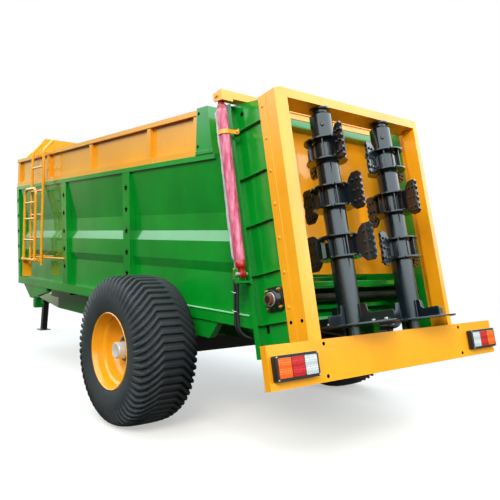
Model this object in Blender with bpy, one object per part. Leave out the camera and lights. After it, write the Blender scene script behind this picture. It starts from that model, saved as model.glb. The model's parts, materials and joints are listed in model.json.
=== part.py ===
"""Two-wheeled manure spreader with a scraper-chain floor, a lifting rear gate and two upright beaters.

Metres, +Z up, +X towards the drawbar, +Y to the machine's left. Everything is laid out from the ground
under the axle, and the last step slides the whole machine so that X = 0 is the middle of its footprint.
"""

import math

import bmesh
import bpy
from mathutils import Matrix, Vector

# ---- Driving dimensions ------------------------------------------------------------------------

GAP = 0.0003                 # between pieces that are bolted or welded face to face
RUN = 0.006                  # running clearance of what moves
FIT = 0.0008                 # clearance of a pin or a shaft in its bore

# Load body
BODY_FRONT = 3.78            # outside of the front wall
BODY_WIDTH_TOP = 1.81        # over the ribs at the top rail
BODY_WIDTH_BOTTOM = 1.71     # over the ribs at the sill
SILL_BOTTOM = 0.85
SILL_TOP = 0.94
RAIL_BOTTOM = 2.07
RAIL_TOP = 2.11
EXTENSION_TOP = 2.465
SHIELD_TOP = 2.775
SHEET = 0.005                # wall thickness of folded sheet
BAR = 0.006                  # thickness of flat bar and ribs
FLOOR_Z = 1.122

# Rear end, which leans forward at the top
LEAN = math.radians(13.5)
REAR_X = -1.574              # rear face of the beater frame at REAR_Z
REAR_Z = 0.86
FRAME_HALF = 0.81            # half width over the beater frame's posts
FRAME_TOP = 1.71
POST_FACE = 0.083            # width of a post's rear face
POST_DEPTH = 0.116
POST_CHAMFER = 0.034         # on a post's outer rear edge
FLANGE_DEPTH = 0.088         # bolting flange in front of the post
CHANNEL_FRONT = 0.495        # front of the rear panel's channel
CHANNEL_WIDTH = 0.047
PANEL_TOP_Z = 2.462          # the rear panels' level top edge
PANEL_Y = 0.800              # inside of the rear side panels
GUIDE_WIDTH = 0.045          # how far the gate's guide bars stand inward

# Beaters
BEATER_Y = 0.345
BEATER_DEPTH = 0.065         # axis in front of the frame's rear face
BEATER_TUBE_R = 0.082
BEATER_TOP = 1.60
PLATE_R = 0.155
BLADE_R = 0.292
BLADE_HEIGHT = 0.262
DISC_H = 0.046
DISC_R = 0.326
PADDLE_STEP = 0.130          # radius where a disc's paddles step down
PADDLE_LOW = 0.125
PADDLE_HIGH = 0.185
PLATE_THICK = 0.012
STUB_R = 0.028               # shaft ends above the tube and below the disc
STUB_DROP = 0.040
BEAM_HEIGHT = 0.068          # of the frame's top cross member
BEARING_SEAT = FRAME_TOP - BEAM_HEIGHT - GAP

# Gate and its cylinders
GATE_DEPTH = 0.425           # middle of the gate in front of the frame's rear face
GATE_BOTTOM = 0.475
GATE_TOP = 1.720
GATE_HALF = 0.775
GATE_INNER = PANEL_Y - GUIDE_WIDTH - RUN   # half width of what stands in front of or above the sheet
GATE_SHEET = 0.006
GATE_LIFT = 1.0
CYLINDER_Y = 0.948
CYLINDER_DEPTH = 0.45
CYLINDER_FOOT = 0.49         # height of the lower pin
CYLINDER_HEAD = 1.794         # height of the rod's pin
BARREL_R = 0.031
BORE_R = 0.0225
ROD_R = 0.0175
PIN_R = 0.0125

# Wheels
TYRE_R = 0.585
TYRE_WIDTH = 0.50
TRACK = 2.376
RIM_R = 0.2985               # rim flange
AXLE_SIZE = 0.13
HUB_R = 0.105
SPIGOT_R = 0.070             # centre hole of the rim

# Chassis and drawbar
RAIL_Y = 0.44
RAIL_WIDTH = 0.08
DRAW_Z = (0.545, 0.68)
RAIL_Z = (DRAW_Z[1] + GAP, 0.90)
CHASSIS_X = (-1.10, 3.60)
DRAW_TIP = 5.30
EYE_X = 5.50
EYE_Z = 0.50
JACK_X = 5.05
JACK_PIVOT_Z = 0.455
JACK_SIZE = 0.08
JACK_FOOT_X = 5.117

# Scraper floor
SHAFT_DEPTH = 0.295
SHAFT_H = 0.288
SHAFT_R = 0.025
CHAIN_R = 0.085
CHAIN_Y = 0.60
CHAIN_THICK = 0.022
CHAIN_WIDTH = 0.035
SLAT_PITCH = 0.44
SLAT_WIDTH = 0.045
SLAT_THICK = 0.03
FRONT_SHAFT_X = 3.54

# Bumper board and lamps
BUMPER_HALF = 1.25
BUMPER_H = (-0.280, -0.017)
BUMPER_DEPTH = 0.055

# ---- Colours -----------------------------------------------------------------------------------


def paint(name, colour, roughness, metallic=0.0):
    material = bpy.data.materials.new(name)
    material.use_nodes = True
    shader = material.node_tree.nodes["Principled BSDF"]
    shader.inputs["Base Color"].default_value = (*colour, 1.0)
    shader.inputs["Roughness"].default_value = roughness
    shader.inputs["Metallic"].default_value = metallic
    return material


for leftover in list(bpy.data.objects):
    bpy.data.objects.remove(leftover)

GREEN = paint("green_enamel", (0.012, 0.30, 0.05), 0.35)
YELLOW = paint("yellow_enamel", (0.82, 0.36, 0.03), 0.38)
STEEL_BLUE = paint("dark_enamel", (0.035, 0.06, 0.10), 0.40)
BLACK = paint("black_enamel", (0.012, 0.013, 0.014), 0.45)
RED = paint("red_enamel", (0.55, 0.01, 0.015), 0.35)
CHROME = paint("chromed_rod", (0.75, 0.76, 0.78), 0.12, 1.0)
BARE_STEEL = paint("bare_steel", (0.35, 0.27, 0.21), 0.55, 1.0)
TYRE_RUBBER = paint("tyre_rubber", (0.02, 0.02, 0.022), 0.8)
HOSE_RUBBER = paint("hose_rubber", (0.012, 0.012, 0.013), 0.5)
LAMP_PLASTIC = paint("lamp_housing", (0.015, 0.015, 0.016), 0.4)

# ---- Shapes: each function returns a mesh -----------------------------------------------------


def mesh_of(bm):
    bmesh.ops.recalc_face_normals(bm, faces=bm.faces)
    mesh = bpy.data.meshes.new("shape")
    bm.to_mesh(mesh)
    bm.free()
    return mesh


def block(x, y, z):
    """A box between the pairs x, y and z."""
    bm = bmesh.new()
    size = Matrix.Diagonal((x[1] - x[0], y[1] - y[0], z[1] - z[0], 1.0))
    middle = Matrix.Translation((sum(x) / 2, sum(y) / 2, sum(z) / 2))
    bmesh.ops.create_cube(bm, size=1.0, matrix=middle @ size)
    return mesh_of(bm)


def prism(outline, start, end, to_3d):
    """An outline of (u, v) pushed from start to end. to_3d(u, v, w) places a point."""
    bm = bmesh.new()
    face = bm.faces.new([bm.verts.new(to_3d(u, v, start)) for u, v in outline])
    top = bmesh.ops.extrude_face_region(bm, geom=[face])
    ends = [v for v in top["geom"] if isinstance(v, bmesh.types.BMVert)]
    for vert, (u, v) in zip(ends, outline):
        vert.co = Vector(to_3d(u, v, end))
    return mesh_of(bm)


def along_x(u, v, w):
    return (w, u, v)


def along_y(u, v, w):
    return (u, w, v)


def along_z(u, v, w):
    return (u, v, w)


def bar(start, end, radius, sides=12):
    """A round bar between two points."""
    start, end = Vector(start), Vector(end)
    axis = end - start
    turn = axis.to_track_quat("Z", "Y").to_matrix().to_4x4()
    bm = bmesh.new()
    bmesh.ops.create_cone(
        bm,
        cap_ends=True,
        segments=sides,
        radius1=radius,
        radius2=radius,
        depth=axis.length,
        matrix=Matrix.Translation((start + end) / 2) @ turn,
    )
    return mesh_of(bm)


def turned(profile, axis, steps=36):
    """A closed profile of (radius, along) turned about X, Y or Z. Its facets lie at the radius, one of them lowest."""
    outer = 1 / math.cos(math.pi / steps)
    profile = [(r * outer, a) for r, a in profile]
    place = {
        "X": lambda r, a: (a, r, 0.0),
        "Y": lambda r, a: (r, a, 0.0),
        "Z": lambda r, a: (r, 0.0, a),
    }[axis]
    bm = bmesh.new()
    verts = [bm.verts.new(place(r, a)) for r, a in profile]
    edges = [bm.edges.new((verts[i - 1], verts[i])) for i in range(len(verts))]
    spun = {"X": (1, 0, 0), "Y": (0, 1, 0), "Z": (0, 0, 1)}[axis]
    bmesh.ops.spin(
        bm, geom=verts + edges, cent=(0, 0, 0), axis=spun, angle=2 * math.pi, steps=steps, use_merge=True
    )
    bmesh.ops.remove_doubles(bm, verts=bm.verts, dist=1e-6)
    bmesh.ops.rotate(bm, verts=bm.verts, cent=(0, 0, 0), matrix=Matrix.Rotation(math.pi / steps, 3, axis))
    return mesh_of(bm)


def pipe(points, radius, sides=8):
    """A round tube through the points, mitred at each, with flat ends."""
    points = [Vector(p) for p in points]
    runs = [(b - a).normalized() for a, b in zip(points, points[1:])]
    side = runs[0].orthogonal().normalized()
    bm = bmesh.new()
    rings = []
    for i, point in enumerate(points):
        before, after = runs[max(i - 1, 0)], runs[min(i, len(runs) - 1)]
        if i:
            side = (side - before * side.dot(before)).normalized()
        across = before.cross(side)
        normal = (before + after).normalized()
        ring = []
        for k in range(sides):
            angle = 2 * math.pi * k / sides
            spoke = side * math.cos(angle) + across * math.sin(angle)
            slide = -spoke.dot(normal) / before.dot(normal)
            ring.append(bm.verts.new(point + (spoke + before * slide) * radius))
        rings.append(ring)
        side = (side - after * side.dot(after)).normalized()
    for low, high in zip(rings, rings[1:]):
        for k in range(sides):
            bm.faces.new((low[k - 1], low[k], high[k], high[k - 1]))
    bm.faces.new(rings[0])
    bm.faces.new(rings[-1])
    return mesh_of(bm)


def smooth_route(points, steps):
    """A Catmull-Rom curve through the route's own points."""
    points = [Vector(p) for p in points]
    ends = [2 * points[0] - points[1], *points, 2 * points[-1] - points[-2]]
    curve = []
    for a, b, c, d in zip(ends, ends[1:], ends[2:], ends[3:]):
        for k in range(steps):
            t = k / steps
            curve.append(
                0.5 * (2 * b + (c - a) * t + (2 * a - 5 * b + 4 * c - d) * t**2 + (3 * b - a - 3 * c + d) * t**3)
            )
    return [*curve, points[-1]]


def mirrored(mesh):
    """The same shape on the machine's other side."""
    bm = bmesh.new()
    bm.from_mesh(mesh)
    bmesh.ops.scale(bm, vec=(1, -1, 1), verts=bm.verts)
    return mesh_of(bm)


def moved(mesh, matrix):
    mesh.transform(matrix)
    return mesh


# ---- Nodes -------------------------------------------------------------------------------------


def empty(name, parent=None, location=(0, 0, 0), rotation=(0, 0, 0)):
    datum = bpy.data.objects.new(name, None)
    datum.location = location
    datum.rotation_euler = rotation
    datum.parent = parent
    bpy.context.scene.collection.objects.link(datum)
    return datum


MACHINE = empty("machine")
REAR = empty("rear_end", MACHINE, (REAR_X, 0, REAR_Z), (0, LEAN, 0))


def node(name, material, shapes, cuts=(), parent=MACHINE):
    """One solid: the first shape, joined with the others and cut by the cutters."""
    solid = bpy.data.objects.new(name, shapes[0])
    solid.parent = parent
    bpy.context.scene.collection.objects.link(solid)
    for operation, meshes in (("UNION", shapes[1:]), ("DIFFERENCE", cuts)):
        for mesh in meshes:
            tool = bpy.data.objects.new(f"{name}_{operation.lower()}", mesh)
            tool.parent = parent
            tool.hide_render = True
            tool.display_type = "WIRE"
            bpy.context.scene.collection.objects.link(tool)
            step = solid.modifiers.new("step", "BOOLEAN")
            step.operation = operation
            step.object = tool
    solid.data.materials.append(material)
    solid.data.shade_smooth()
    solid.data.set_sharp_from_angle(angle=math.radians(35))
    return solid


def pair(name, material, shapes, cuts=(), parent=MACHINE):
    """A left node and its mirror image on the right."""
    right = [mirrored(mesh) for mesh in shapes], [mirrored(mesh) for mesh in cuts]
    return node(f"{name}_left", material, shapes, cuts, parent), node(
        f"{name}_right", material, right[0], right[1], parent
    )


# ---- Load body: walls, frames, extensions -------------------------------------------------------


def leaning_x(z, depth):
    """X at height z of a plane that lies depth in front of the beater frame's rear face."""
    return REAR_X + (depth + (z - REAR_Z) * math.sin(LEAN)) / math.cos(LEAN)


def face_y(z):
    """Outside of the ribs at height z."""
    share = (z - SILL_TOP) / (RAIL_BOTTOM - SILL_TOP)
    return (BODY_WIDTH_BOTTOM + (BODY_WIDTH_TOP - BODY_WIDTH_BOTTOM) * share) / 2


# The folded side wall: (height, depth inside the ribs' outer face)
WALL_FOLDS = [
    (SILL_TOP + GAP, 0.050),
    (1.225, 0.058),
    (1.300, 0.034),
    (1.455, 0.034),
    (1.537, 0.060),
    (1.672, 0.062),
    (RAIL_BOTTOM - GAP, 0.018),
]
WALL_REAR = CHANNEL_FRONT + GAP
WALL_FRONT = BODY_FRONT - 0.012


def wall_outline(inset, thickness):
    """The wall's folds as a strip of this thickness, inset from the wall's outer face."""
    outer = [(face_y(z) - depth - inset, z) for z, depth in WALL_FOLDS]
    return outer + [(y - thickness, z) for y, z in reversed(outer)]


def side_wall():
    outline = wall_outline(0.0, SHEET)
    return prism(
        outline, 0, 1, lambda y, z, w: (leaning_x(z, WALL_REAR) if w == 0 else WALL_FRONT, y, z)
    )


pair("side_wall", GREEN, [side_wall()])

RIB_X = [(0.715, 0.845), (2.175, 2.305)]
POST_X = (3.715, 3.785)
RAIL_DEPTH = 0.07
RIB_SINK = 0.002             # the rail and the sill stand this proud of the ribs
SILL_INNER = face_y(SILL_TOP) - 0.070
RAIL_REAR = -0.61


def rib_web(x):
    """A rib's web: from the wall's folds out to the rib's face."""
    folds = [(face_y(z) - depth + GAP, z) for z, depth in WALL_FOLDS]
    bottom, top = SILL_TOP - 0.012, RAIL_BOTTOM + 0.012
    edge = [(face_y(z) - BAR / 2, z) for z in (top, bottom)]
    outline = [(folds[0][0], bottom), *folds, (folds[-1][0], top), *edge]
    return prism(outline, x, x + BAR, along_x)


def rib_face(x0, x1):
    bottom, top = SILL_TOP - 0.01, RAIL_BOTTOM + 0.01
    outline = [(face_y(z) - back, z) for z, back in ((bottom, 0), (top, 0), (top, BAR), (bottom, BAR))]
    return prism(outline, x0, x1, along_x)


def side_frame():
    top = face_y(RAIL_BOTTOM) + RIB_SINK
    low = face_y(SILL_TOP) + RIB_SINK
    shapes = [block((RAIL_REAR, BODY_FRONT), (top - RAIL_DEPTH, top), (RAIL_BOTTOM, RAIL_TOP))]
    for x0, x1 in [*RIB_X, POST_X]:
        shapes += [rib_face(x0, x1), rib_web(x0 + BAR / 2), rib_web(x1 - 1.5 * BAR)]
    sill = [(SILL_INNER, SILL_BOTTOM), (low, SILL_BOTTOM), (low, SILL_TOP), (SILL_INNER, SILL_TOP)]
    shapes.append(
        prism(sill, 0, 1, lambda y, z, w: (leaning_x(z, WALL_REAR) if w == 0 else BODY_FRONT, y, z))
    )
    return shapes


def side_frame_gussets():
    """Wedges under the sill: one behind the front corner, one behind the wheel."""
    low = face_y(SILL_TOP)
    front = [(3.62, 0.86), (3.36, 0.69), (3.30, 0.69), (2.82, 0.80), (2.82, 0.86)]
    rear = [(0.55, 0.86), (0.62, 0.715), (-0.52, 0.715), (-0.64, 0.86)]
    return [prism(outline, low - 0.07, low - 0.012, along_y) for outline in (front, rear)]


pair("side_frame", GREEN, side_frame() + side_frame_gussets())

EXT_REAR = -0.365
EXT_END_DEPTH = 0.664        # rear face of the end box, in front of the beater frame's rear face
EXT_Y = face_y(RAIL_BOTTOM)


def extension():
    """A yellow board with a rail along each edge and upright stiles outside."""
    z0, z1 = RAIL_TOP + GAP, EXTENSION_TOP
    shapes = [block((EXT_REAR, BODY_FRONT), (EXT_Y - 0.045, EXT_Y - 0.040), (z0 + 0.01, z1 - 0.01))]
    shapes.append(block((EXT_REAR, BODY_FRONT), (EXT_Y - 0.05, EXT_Y), (z1 - 0.04, z1)))
    shapes.append(block((EXT_REAR, BODY_FRONT), (EXT_Y - 0.05, EXT_Y - 0.005), (z0, z0 + 0.05)))
    for x in (EXT_REAR + 0.002, 0.36, 1.54, 2.70, BODY_FRONT - 0.062):
        shapes.append(block((x, x + 0.06), (EXT_Y - 0.048, EXT_Y - 0.008), (z0 + 0.02, z1 - 0.02)))
    return shapes


def extension_end():
    """The green box that closes the extension's rear end."""
    z0, z1 = RAIL_TOP + GAP, EXTENSION_TOP + 0.012
    rear = [leaning_x(z, EXT_END_DEPTH) for z in (z0, z1)]
    outline = [(rear[0], z0), (EXT_REAR - GAP, z0), (EXT_REAR - GAP, z1), (rear[1], z1)]
    return [prism(outline, EXT_Y - 0.095, EXT_Y + 0.004, along_y)]


pair("extension", YELLOW, extension())
pair("extension_end", GREEN, extension_end())


def front_wall():
    half = face_y(RAIL_BOTTOM) - RAIL_DEPTH - GAP
    low = SILL_INNER - GAP
    x = WALL_FRONT - 0.075
    outline = [(-low, SILL_BOTTOM), (low, SILL_BOTTOM), (low, SILL_TOP), (0.79, 1.2), (half - 0.04, RAIL_BOTTOM),
               (half, RAIL_BOTTOM), (half, RAIL_TOP), (-half, RAIL_TOP), (-half, RAIL_BOTTOM),
               (0.04 - half, RAIL_BOTTOM), (-0.79, 1.2), (-low, SILL_TOP)]
    shapes = [prism(outline, x, x + SHEET, along_x)]
    for z in (0.90, 1.30, 1.70, RAIL_TOP - 0.03):
        shapes.append(block((x + 0.002, BODY_FRONT - 0.02), (-0.72, 0.72), (z - 0.025, z + 0.025)))
    for y in (-0.40, 0.40):
        shapes.append(block((x + 0.002, BODY_FRONT - 0.03), (y - 0.03, y + 0.03), (0.89, RAIL_TOP - 0.02)))
    return shapes


node("front_wall", GREEN, front_wall())


def front_shield():
    """The yellow screen above the front wall, with sloping shoulders."""
    half = EXT_Y - 0.05 - GAP
    z0 = RAIL_TOP + GAP
    x = BODY_FRONT - 0.09
    outline = [(-half, z0), (half, z0), (half, EXTENSION_TOP), (0.585, SHIELD_TOP), (-0.585, SHIELD_TOP),
               (-half, EXTENSION_TOP)]
    shapes = [prism(outline, x, x + SHEET, along_x)]
    shapes.append(block((x, x + 0.05), (-half, half), (z0, z0 + 0.05)))
    shapes.append(block((x, x + 0.045), (-0.585, 0.585), (SHIELD_TOP - 0.04, SHIELD_TOP)))
    for side in (-1, 1):
        rail = [(side * half, EXTENSION_TOP - 0.04), (side * half, EXTENSION_TOP),
                (side * 0.585, SHIELD_TOP), (side * 0.585, SHIELD_TOP - 0.04)]
        shapes.append(prism(rail, x + 0.002, x + 0.045, along_x))
        shapes.append(block((x, x + 0.04), (side * 0.45 - 0.025, side * 0.45 + 0.025), (z0 + 0.01, SHIELD_TOP - 0.01)))
    return shapes


node("front_shield", YELLOW, front_shield())


def wall_inner(z):
    """Inside of the side wall at height z."""
    for (z0, d0), (z1, d1) in zip(WALL_FOLDS, WALL_FOLDS[1:]):
        if z0 <= z <= z1:
            return face_y(z) - (d0 + (d1 - d0) * (z - z0) / (z1 - z0)) - SHEET
    return face_y(z) - WALL_FOLDS[0][1] - SHEET


FLOOR_HALF = min(wall_inner(FLOOR_Z), PANEL_Y) - GAP
FLOOR_X = (leaning_x(FLOOR_Z, SHAFT_DEPTH) + 0.10, FRONT_SHAFT_X - 0.10)
node("floor_panel", GREEN, [block(FLOOR_X, (-FLOOR_HALF, FLOOR_HALF), (FLOOR_Z, FLOOR_Z + BAR))])

# ---- Chassis, axle and drawbar -----------------------------------------------------------------

CROSS_X = [-0.95, 0.0, 1.15, 2.30, 3.45]


def chassis():
    z0, z1 = RAIL_Z
    shapes = []
    for side in (-1, 1):
        y = sorted((side * (RAIL_Y - RAIL_WIDTH / 2), side * (RAIL_Y + RAIL_WIDTH / 2)))
        shapes.append(block(CHASSIS_X, y, (z0, z1)))
        shapes.append(block((-0.13, 0.13), (y[0] - 0.01, y[1] + 0.01), (0.585 + AXLE_SIZE / 2 + GAP, z0 + 0.02)))
    for x in CROSS_X:
        shapes.append(block((x - 0.04, x + 0.04), (-SILL_INNER + GAP, SILL_INNER - GAP), (z1 - 0.09, z1 + 0.02)))
    return shapes


node("chassis_frame", GREEN, chassis())


def drawbar():
    """Two box beams that meet in a head, with a coupling plate hanging from it."""
    z0, z1 = DRAW_Z
    shapes = []
    for side in (-1, 1):
        beam = [(2.35, side * 0.40), (2.35, side * 0.48), (3.35, side * 0.48), (DRAW_TIP - 0.1, side * 0.11),
                (DRAW_TIP - 0.1, side * 0.03), (3.30, side * 0.40)]
        shapes.append(prism(beam, z0, z1, along_z))
    shapes.append(block((DRAW_TIP - 0.62, DRAW_TIP), (-0.14, 0.14), (z0 + 0.003, z1 - 0.003)))
    plate = [(DRAW_TIP - 0.06, 0.66), (DRAW_TIP + 0.03, 0.66), (DRAW_TIP + 0.03, 0.36), (DRAW_TIP, 0.34),
             (DRAW_TIP - 0.06, 0.34)]
    shapes.append(prism(plate, -0.10, 0.10, along_y))
    shapes.append(block((3.28, 3.40), (-0.47, 0.47), (z0 + 0.01, z1 - 0.01)))
    for side in (-1, 1):
        y = sorted((side * (JACK_SIZE / 2 + RUN), side * (JACK_SIZE / 2 + RUN + 0.012)))
        cheek = [(JACK_X - 0.06, z0 + 0.02), (JACK_X + 0.06, z0 + 0.02), (JACK_X + 0.04, JACK_PIVOT_Z - 0.03),
                 (JACK_X - 0.04, JACK_PIVOT_Z - 0.03)]
        shapes.append(prism(cheek, *y, along_y))
    pin = bar((JACK_X, -0.07, JACK_PIVOT_Z), (JACK_X, 0.07, JACK_PIVOT_Z), PIN_R)
    return shapes + [pin]


node("drawbar", GREEN, drawbar())

EYE_OUTER, EYE_INNER, EYE_THICK = 0.062, 0.026, 0.045


def tow_eye():
    ring = moved(
        turned([(EYE_INNER, -EYE_THICK / 2), (EYE_OUTER, -EYE_THICK / 2), (EYE_OUTER, EYE_THICK / 2),
                (EYE_INNER, EYE_THICK / 2)], "Z", 32),
        Matrix.Translation((EYE_X, 0, EYE_Z)),
    )
    x = DRAW_TIP + 0.03 + GAP
    return [
        ring,
        block((x, EYE_X - EYE_OUTER + 0.02), (-0.03, 0.03), (EYE_Z - 0.022, EYE_Z + 0.022)),
        block((x, x + 0.02), (-0.08, 0.08), (EYE_Z - 0.10, EYE_Z + 0.10)),
    ]


node("tow_eye", BLACK, tow_eye())

HUB_INNER = TRACK / 2 - 0.10
WHEEL_Y = TRACK / 2
SPINDLE_R = 0.036


def axle():
    z = TYRE_R
    half = AXLE_SIZE / 2
    shapes = [block((-half, half), (-HUB_INNER + 0.03, HUB_INNER - 0.03), (z - half, z + half))]
    for side in (-1, 1):
        end = side * (WHEEL_Y + 0.10)
        shapes.append(bar((0, side * (HUB_INNER - 0.05), z), (0, end, z), SPINDLE_R, 16))
    return shapes


node("axle_beam", BLACK, axle())

# ---- Wheels ------------------------------------------------------------------------------------

WHEEL_STEPS = 32
BEAD_R = 0.281               # bead seat of the rim
BEAD_A = 0.2185              # inner face of the rim flange, from the wheel's middle
TYRE_PROFILE = [
    (BEAD_R + GAP, -0.205), (RIM_R, GAP * 2 - BEAD_A), (0.312, -0.232), (0.400, -0.250), (0.500, -0.246),
    (0.560, -0.225), (TYRE_R, -0.14), (TYRE_R, 0.14), (0.560, 0.225), (0.500, 0.246), (0.400, 0.250),
    (0.312, 0.232), (RIM_R, BEAD_A - GAP * 2), (BEAD_R + GAP, 0.205),
]
RIM_PROFILE = [
    (BEAD_R, 0.205), (RIM_R, BEAD_A), (RIM_R, 0.230), (0.287, 0.230), (0.268, 0.190), (0.262, 0.10), (0.235, 0.06),
    (0.160, 0.038), (SPIGOT_R, 0.030), (SPIGOT_R, 0.018), (0.165, 0.024), (0.245, 0.045),
    (0.256, -0.15), (0.268, -0.190), (0.287, -0.230), (RIM_R, -0.230), (RIM_R, -BEAD_A), (BEAD_R, -0.205),
]
HUB_PROFILE = [
    (SPINDLE_R + FIT, -0.12), (0.085, -0.12), (0.085, -0.05), (HUB_R + 0.02, -0.045), (HUB_R + 0.02, 0.018 - GAP),
    (SPIGOT_R - 2 * FIT, 0.018 - GAP), (SPIGOT_R - 2 * FIT, 0.110), (0.062, 0.135), (0.058, 0.154),
    (0.0, 0.158), (0.0, 0.135), (SPINDLE_R + FIT, 0.125),
]


def wheel(side, sign):
    pivot = empty(f"wheel_{side}", MACHINE, (0, sign * WHEEL_Y, TYRE_R))
    outward = [(r, sign * a) for r, a in RIM_PROFILE]
    node(f"tyre_{side}", TYRE_RUBBER, [turned(TYRE_PROFILE, "Y", WHEEL_STEPS)], parent=pivot)
    node(f"rim_{side}", YELLOW, [turned(outward, "Y", WHEEL_STEPS)], parent=pivot)
    node(f"hub_{side}", BLACK, [turned([(r, sign * a) for r, a in HUB_PROFILE], "Y", 20)], parent=pivot)


wheel("left", 1)
wheel("right", -1)

# ---- Parking jack ------------------------------------------------------------------------------

JACK_DATUM = empty("parking_jack", MACHINE, (JACK_X, 0, JACK_PIVOT_Z))


def jack_leg():
    """A square leg that leans forward to its foot plate, drilled for the pivot pin."""
    half = JACK_SIZE / 2
    drop = JACK_PIVOT_Z
    reach = JACK_FOOT_X - JACK_X
    leg = [(-half, 0.045), (half, 0.045), (reach + half, 0.006 - drop), (reach - half, 0.006 - drop)]
    foot = block((reach - 0.08, reach + 0.08), (-0.08, 0.08), (-drop, 0.012 - drop))
    hole = bar((0, -0.1, 0), (0, 0.1, 0), PIN_R + FIT)
    return [prism(leg, -half, half, along_y), foot], [hole]


node("jack_leg", BLACK, *jack_leg(), parent=JACK_DATUM)

# ---- Rear panels, conveyor and shafts (in the leaning frame: depth, y, height) ------------------

PANEL_FRONT = CHANNEL_FRONT
PANEL_REAR = POST_DEPTH + FLANGE_DEPTH + GAP
PANEL_BOTTOM = -0.10
CHANNEL_Y = 0.868
PANEL_RIBS = [0.13, 0.476, 0.83, 1.182, 1.538]
GUIDE_GAP = RUN


def panel_top(depth):
    """Height of the panels' level top edge, measured up the leaning rear end."""
    return (PANEL_TOP_Z - REAR_Z + depth * math.sin(LEAN)) / math.cos(LEAN)


def upright(depth, y, top_drop):
    """A plate from the panel's bottom to its level top edge."""
    outline = [(depth[0], PANEL_BOTTOM), (depth[1], PANEL_BOTTOM), (depth[1], panel_top(depth[1]) - top_drop),
               (depth[0], panel_top(depth[0]) - top_drop)]
    return prism(outline, *y, along_y)


def rear_panel():
    """The leaning side plate with its channel, its ribs and the gate's guide bars."""
    shapes = [
        upright((PANEL_REAR, PANEL_FRONT), (PANEL_Y, PANEL_Y + SHEET), 0.0),
        upright((PANEL_FRONT - BAR, PANEL_FRONT), (PANEL_Y + 0.001, CHANNEL_Y - 0.001), 0.003),
        upright((PANEL_FRONT - CHANNEL_WIDTH, PANEL_FRONT), (CHANNEL_Y - BAR, CHANNEL_Y), 0.003),
    ]
    for h in PANEL_RIBS:
        shapes.append(block((PANEL_REAR, PANEL_FRONT - 0.003), (PANEL_Y + 0.002, PANEL_Y + 0.034), (h - 0.003, h + 0.003)))
    for depth in (GATE_DEPTH - GATE_SHEET / 2 - GUIDE_GAP - 0.010, GATE_DEPTH + GATE_SHEET / 2 + 0.03 + GUIDE_GAP):
        shapes.append(block((depth, depth + 0.010), (PANEL_Y - GUIDE_WIDTH, PANEL_Y + 0.002), (0.42, panel_top(depth) - 0.006)))
    cuts = [bar((SHAFT_DEPTH, 0.7, SHAFT_H), (SHAFT_DEPTH, 0.9, SHAFT_H), SHAFT_R + 0.004, 20)]
    return shapes, cuts


pair("rear_panel", GREEN, *rear_panel(), parent=REAR)

BEARING_SIZE = 0.165
SHAFT_BORE_R = SHAFT_R / math.cos(math.pi / 12) + GAP


def bearing():
    half = BEARING_SIZE / 2
    y = PANEL_Y + SHEET + GAP
    plate = [(SHAFT_DEPTH - half, SHAFT_H - half), (SHAFT_DEPTH + half, SHAFT_H - half),
             (SHAFT_DEPTH + half, SHAFT_H + half), (SHAFT_DEPTH - half, SHAFT_H + half)]
    body = bar((SHAFT_DEPTH, y + 0.004, SHAFT_H), (SHAFT_DEPTH, y + 0.05, SHAFT_H), 0.055, 20)
    bore = bar((SHAFT_DEPTH, y - 0.01, SHAFT_H), (SHAFT_DEPTH, y + 0.07, SHAFT_H), SHAFT_BORE_R)
    return [prism(plate, y, y + 0.016, along_y), body], [bore]


pair("shaft_bearing", BLACK, *bearing(), parent=REAR)

LOOP_ARC = 8                 # facets of the loop round each shaft
SPROCKET_R = CHAIN_R - CHAIN_THICK / 2 - GAP


def sprocket_shaft(x, z, half):
    shapes = [bar((x, -half, z), (x, half, z), SHAFT_R)]
    for side in (-1, 1):
        shapes.append(bar((x, side * CHAIN_Y - 0.014, z), (x, side * CHAIN_Y + 0.014, z), SPROCKET_R, 2 * LOOP_ARC))
    return shapes


SHAFT_X = REAR_X + SHAFT_DEPTH * math.cos(LEAN) + SHAFT_H * math.sin(LEAN)
SHAFT_Z = REAR_Z - SHAFT_DEPTH * math.sin(LEAN) + SHAFT_H * math.cos(LEAN)
node("conveyor_shaft", BARE_STEEL, sprocket_shaft(SHAFT_X, SHAFT_Z, PANEL_Y + 0.085))
node("tension_shaft", BARE_STEEL, sprocket_shaft(FRONT_SHAFT_X, SHAFT_Z, wall_inner(SHAFT_Z - SHAFT_R) - GAP))


def loop_outline(radius):
    """A racetrack round both shafts."""
    points = []
    for x, start in ((SHAFT_X, 90), (FRONT_SHAFT_X, -90)):
        for k in range(LOOP_ARC + 1):
            angle = math.radians(start + 180 * k / LOOP_ARC)
            points.append((x + radius * math.cos(angle), SHAFT_Z + radius * math.sin(angle)))
    return points


def chain_loop(y):
    outer = prism(loop_outline(CHAIN_R + CHAIN_THICK / 2), y - CHAIN_WIDTH / 2, y + CHAIN_WIDTH / 2, along_y)
    inner = prism(loop_outline(CHAIN_R - CHAIN_THICK / 2), y - CHAIN_WIDTH, y + CHAIN_WIDTH, along_y)
    return outer, inner


def slat_places():
    """(x, z, angle) along the loop, one for each slat."""
    straight = FRONT_SHAFT_X - SHAFT_X
    bend = math.pi * CHAIN_R
    count = round((2 * straight + 2 * bend) / SLAT_PITCH)
    for k in range(count):
        s = k * (2 * straight + 2 * bend) / count
        if s < straight:
            yield SHAFT_X + s, SHAFT_Z + CHAIN_R, 0.0
        elif s < straight + bend:
            turn = (s - straight) / CHAIN_R
            yield FRONT_SHAFT_X + CHAIN_R * math.sin(turn), SHAFT_Z + CHAIN_R * math.cos(turn), turn
        elif s < 2 * straight + bend:
            yield FRONT_SHAFT_X - (s - straight - bend), SHAFT_Z - CHAIN_R, math.pi
        else:
            turn = (s - 2 * straight - bend) / CHAIN_R
            yield SHAFT_X - CHAIN_R * math.sin(turn), SHAFT_Z - CHAIN_R * math.cos(turn), turn + math.pi


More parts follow.
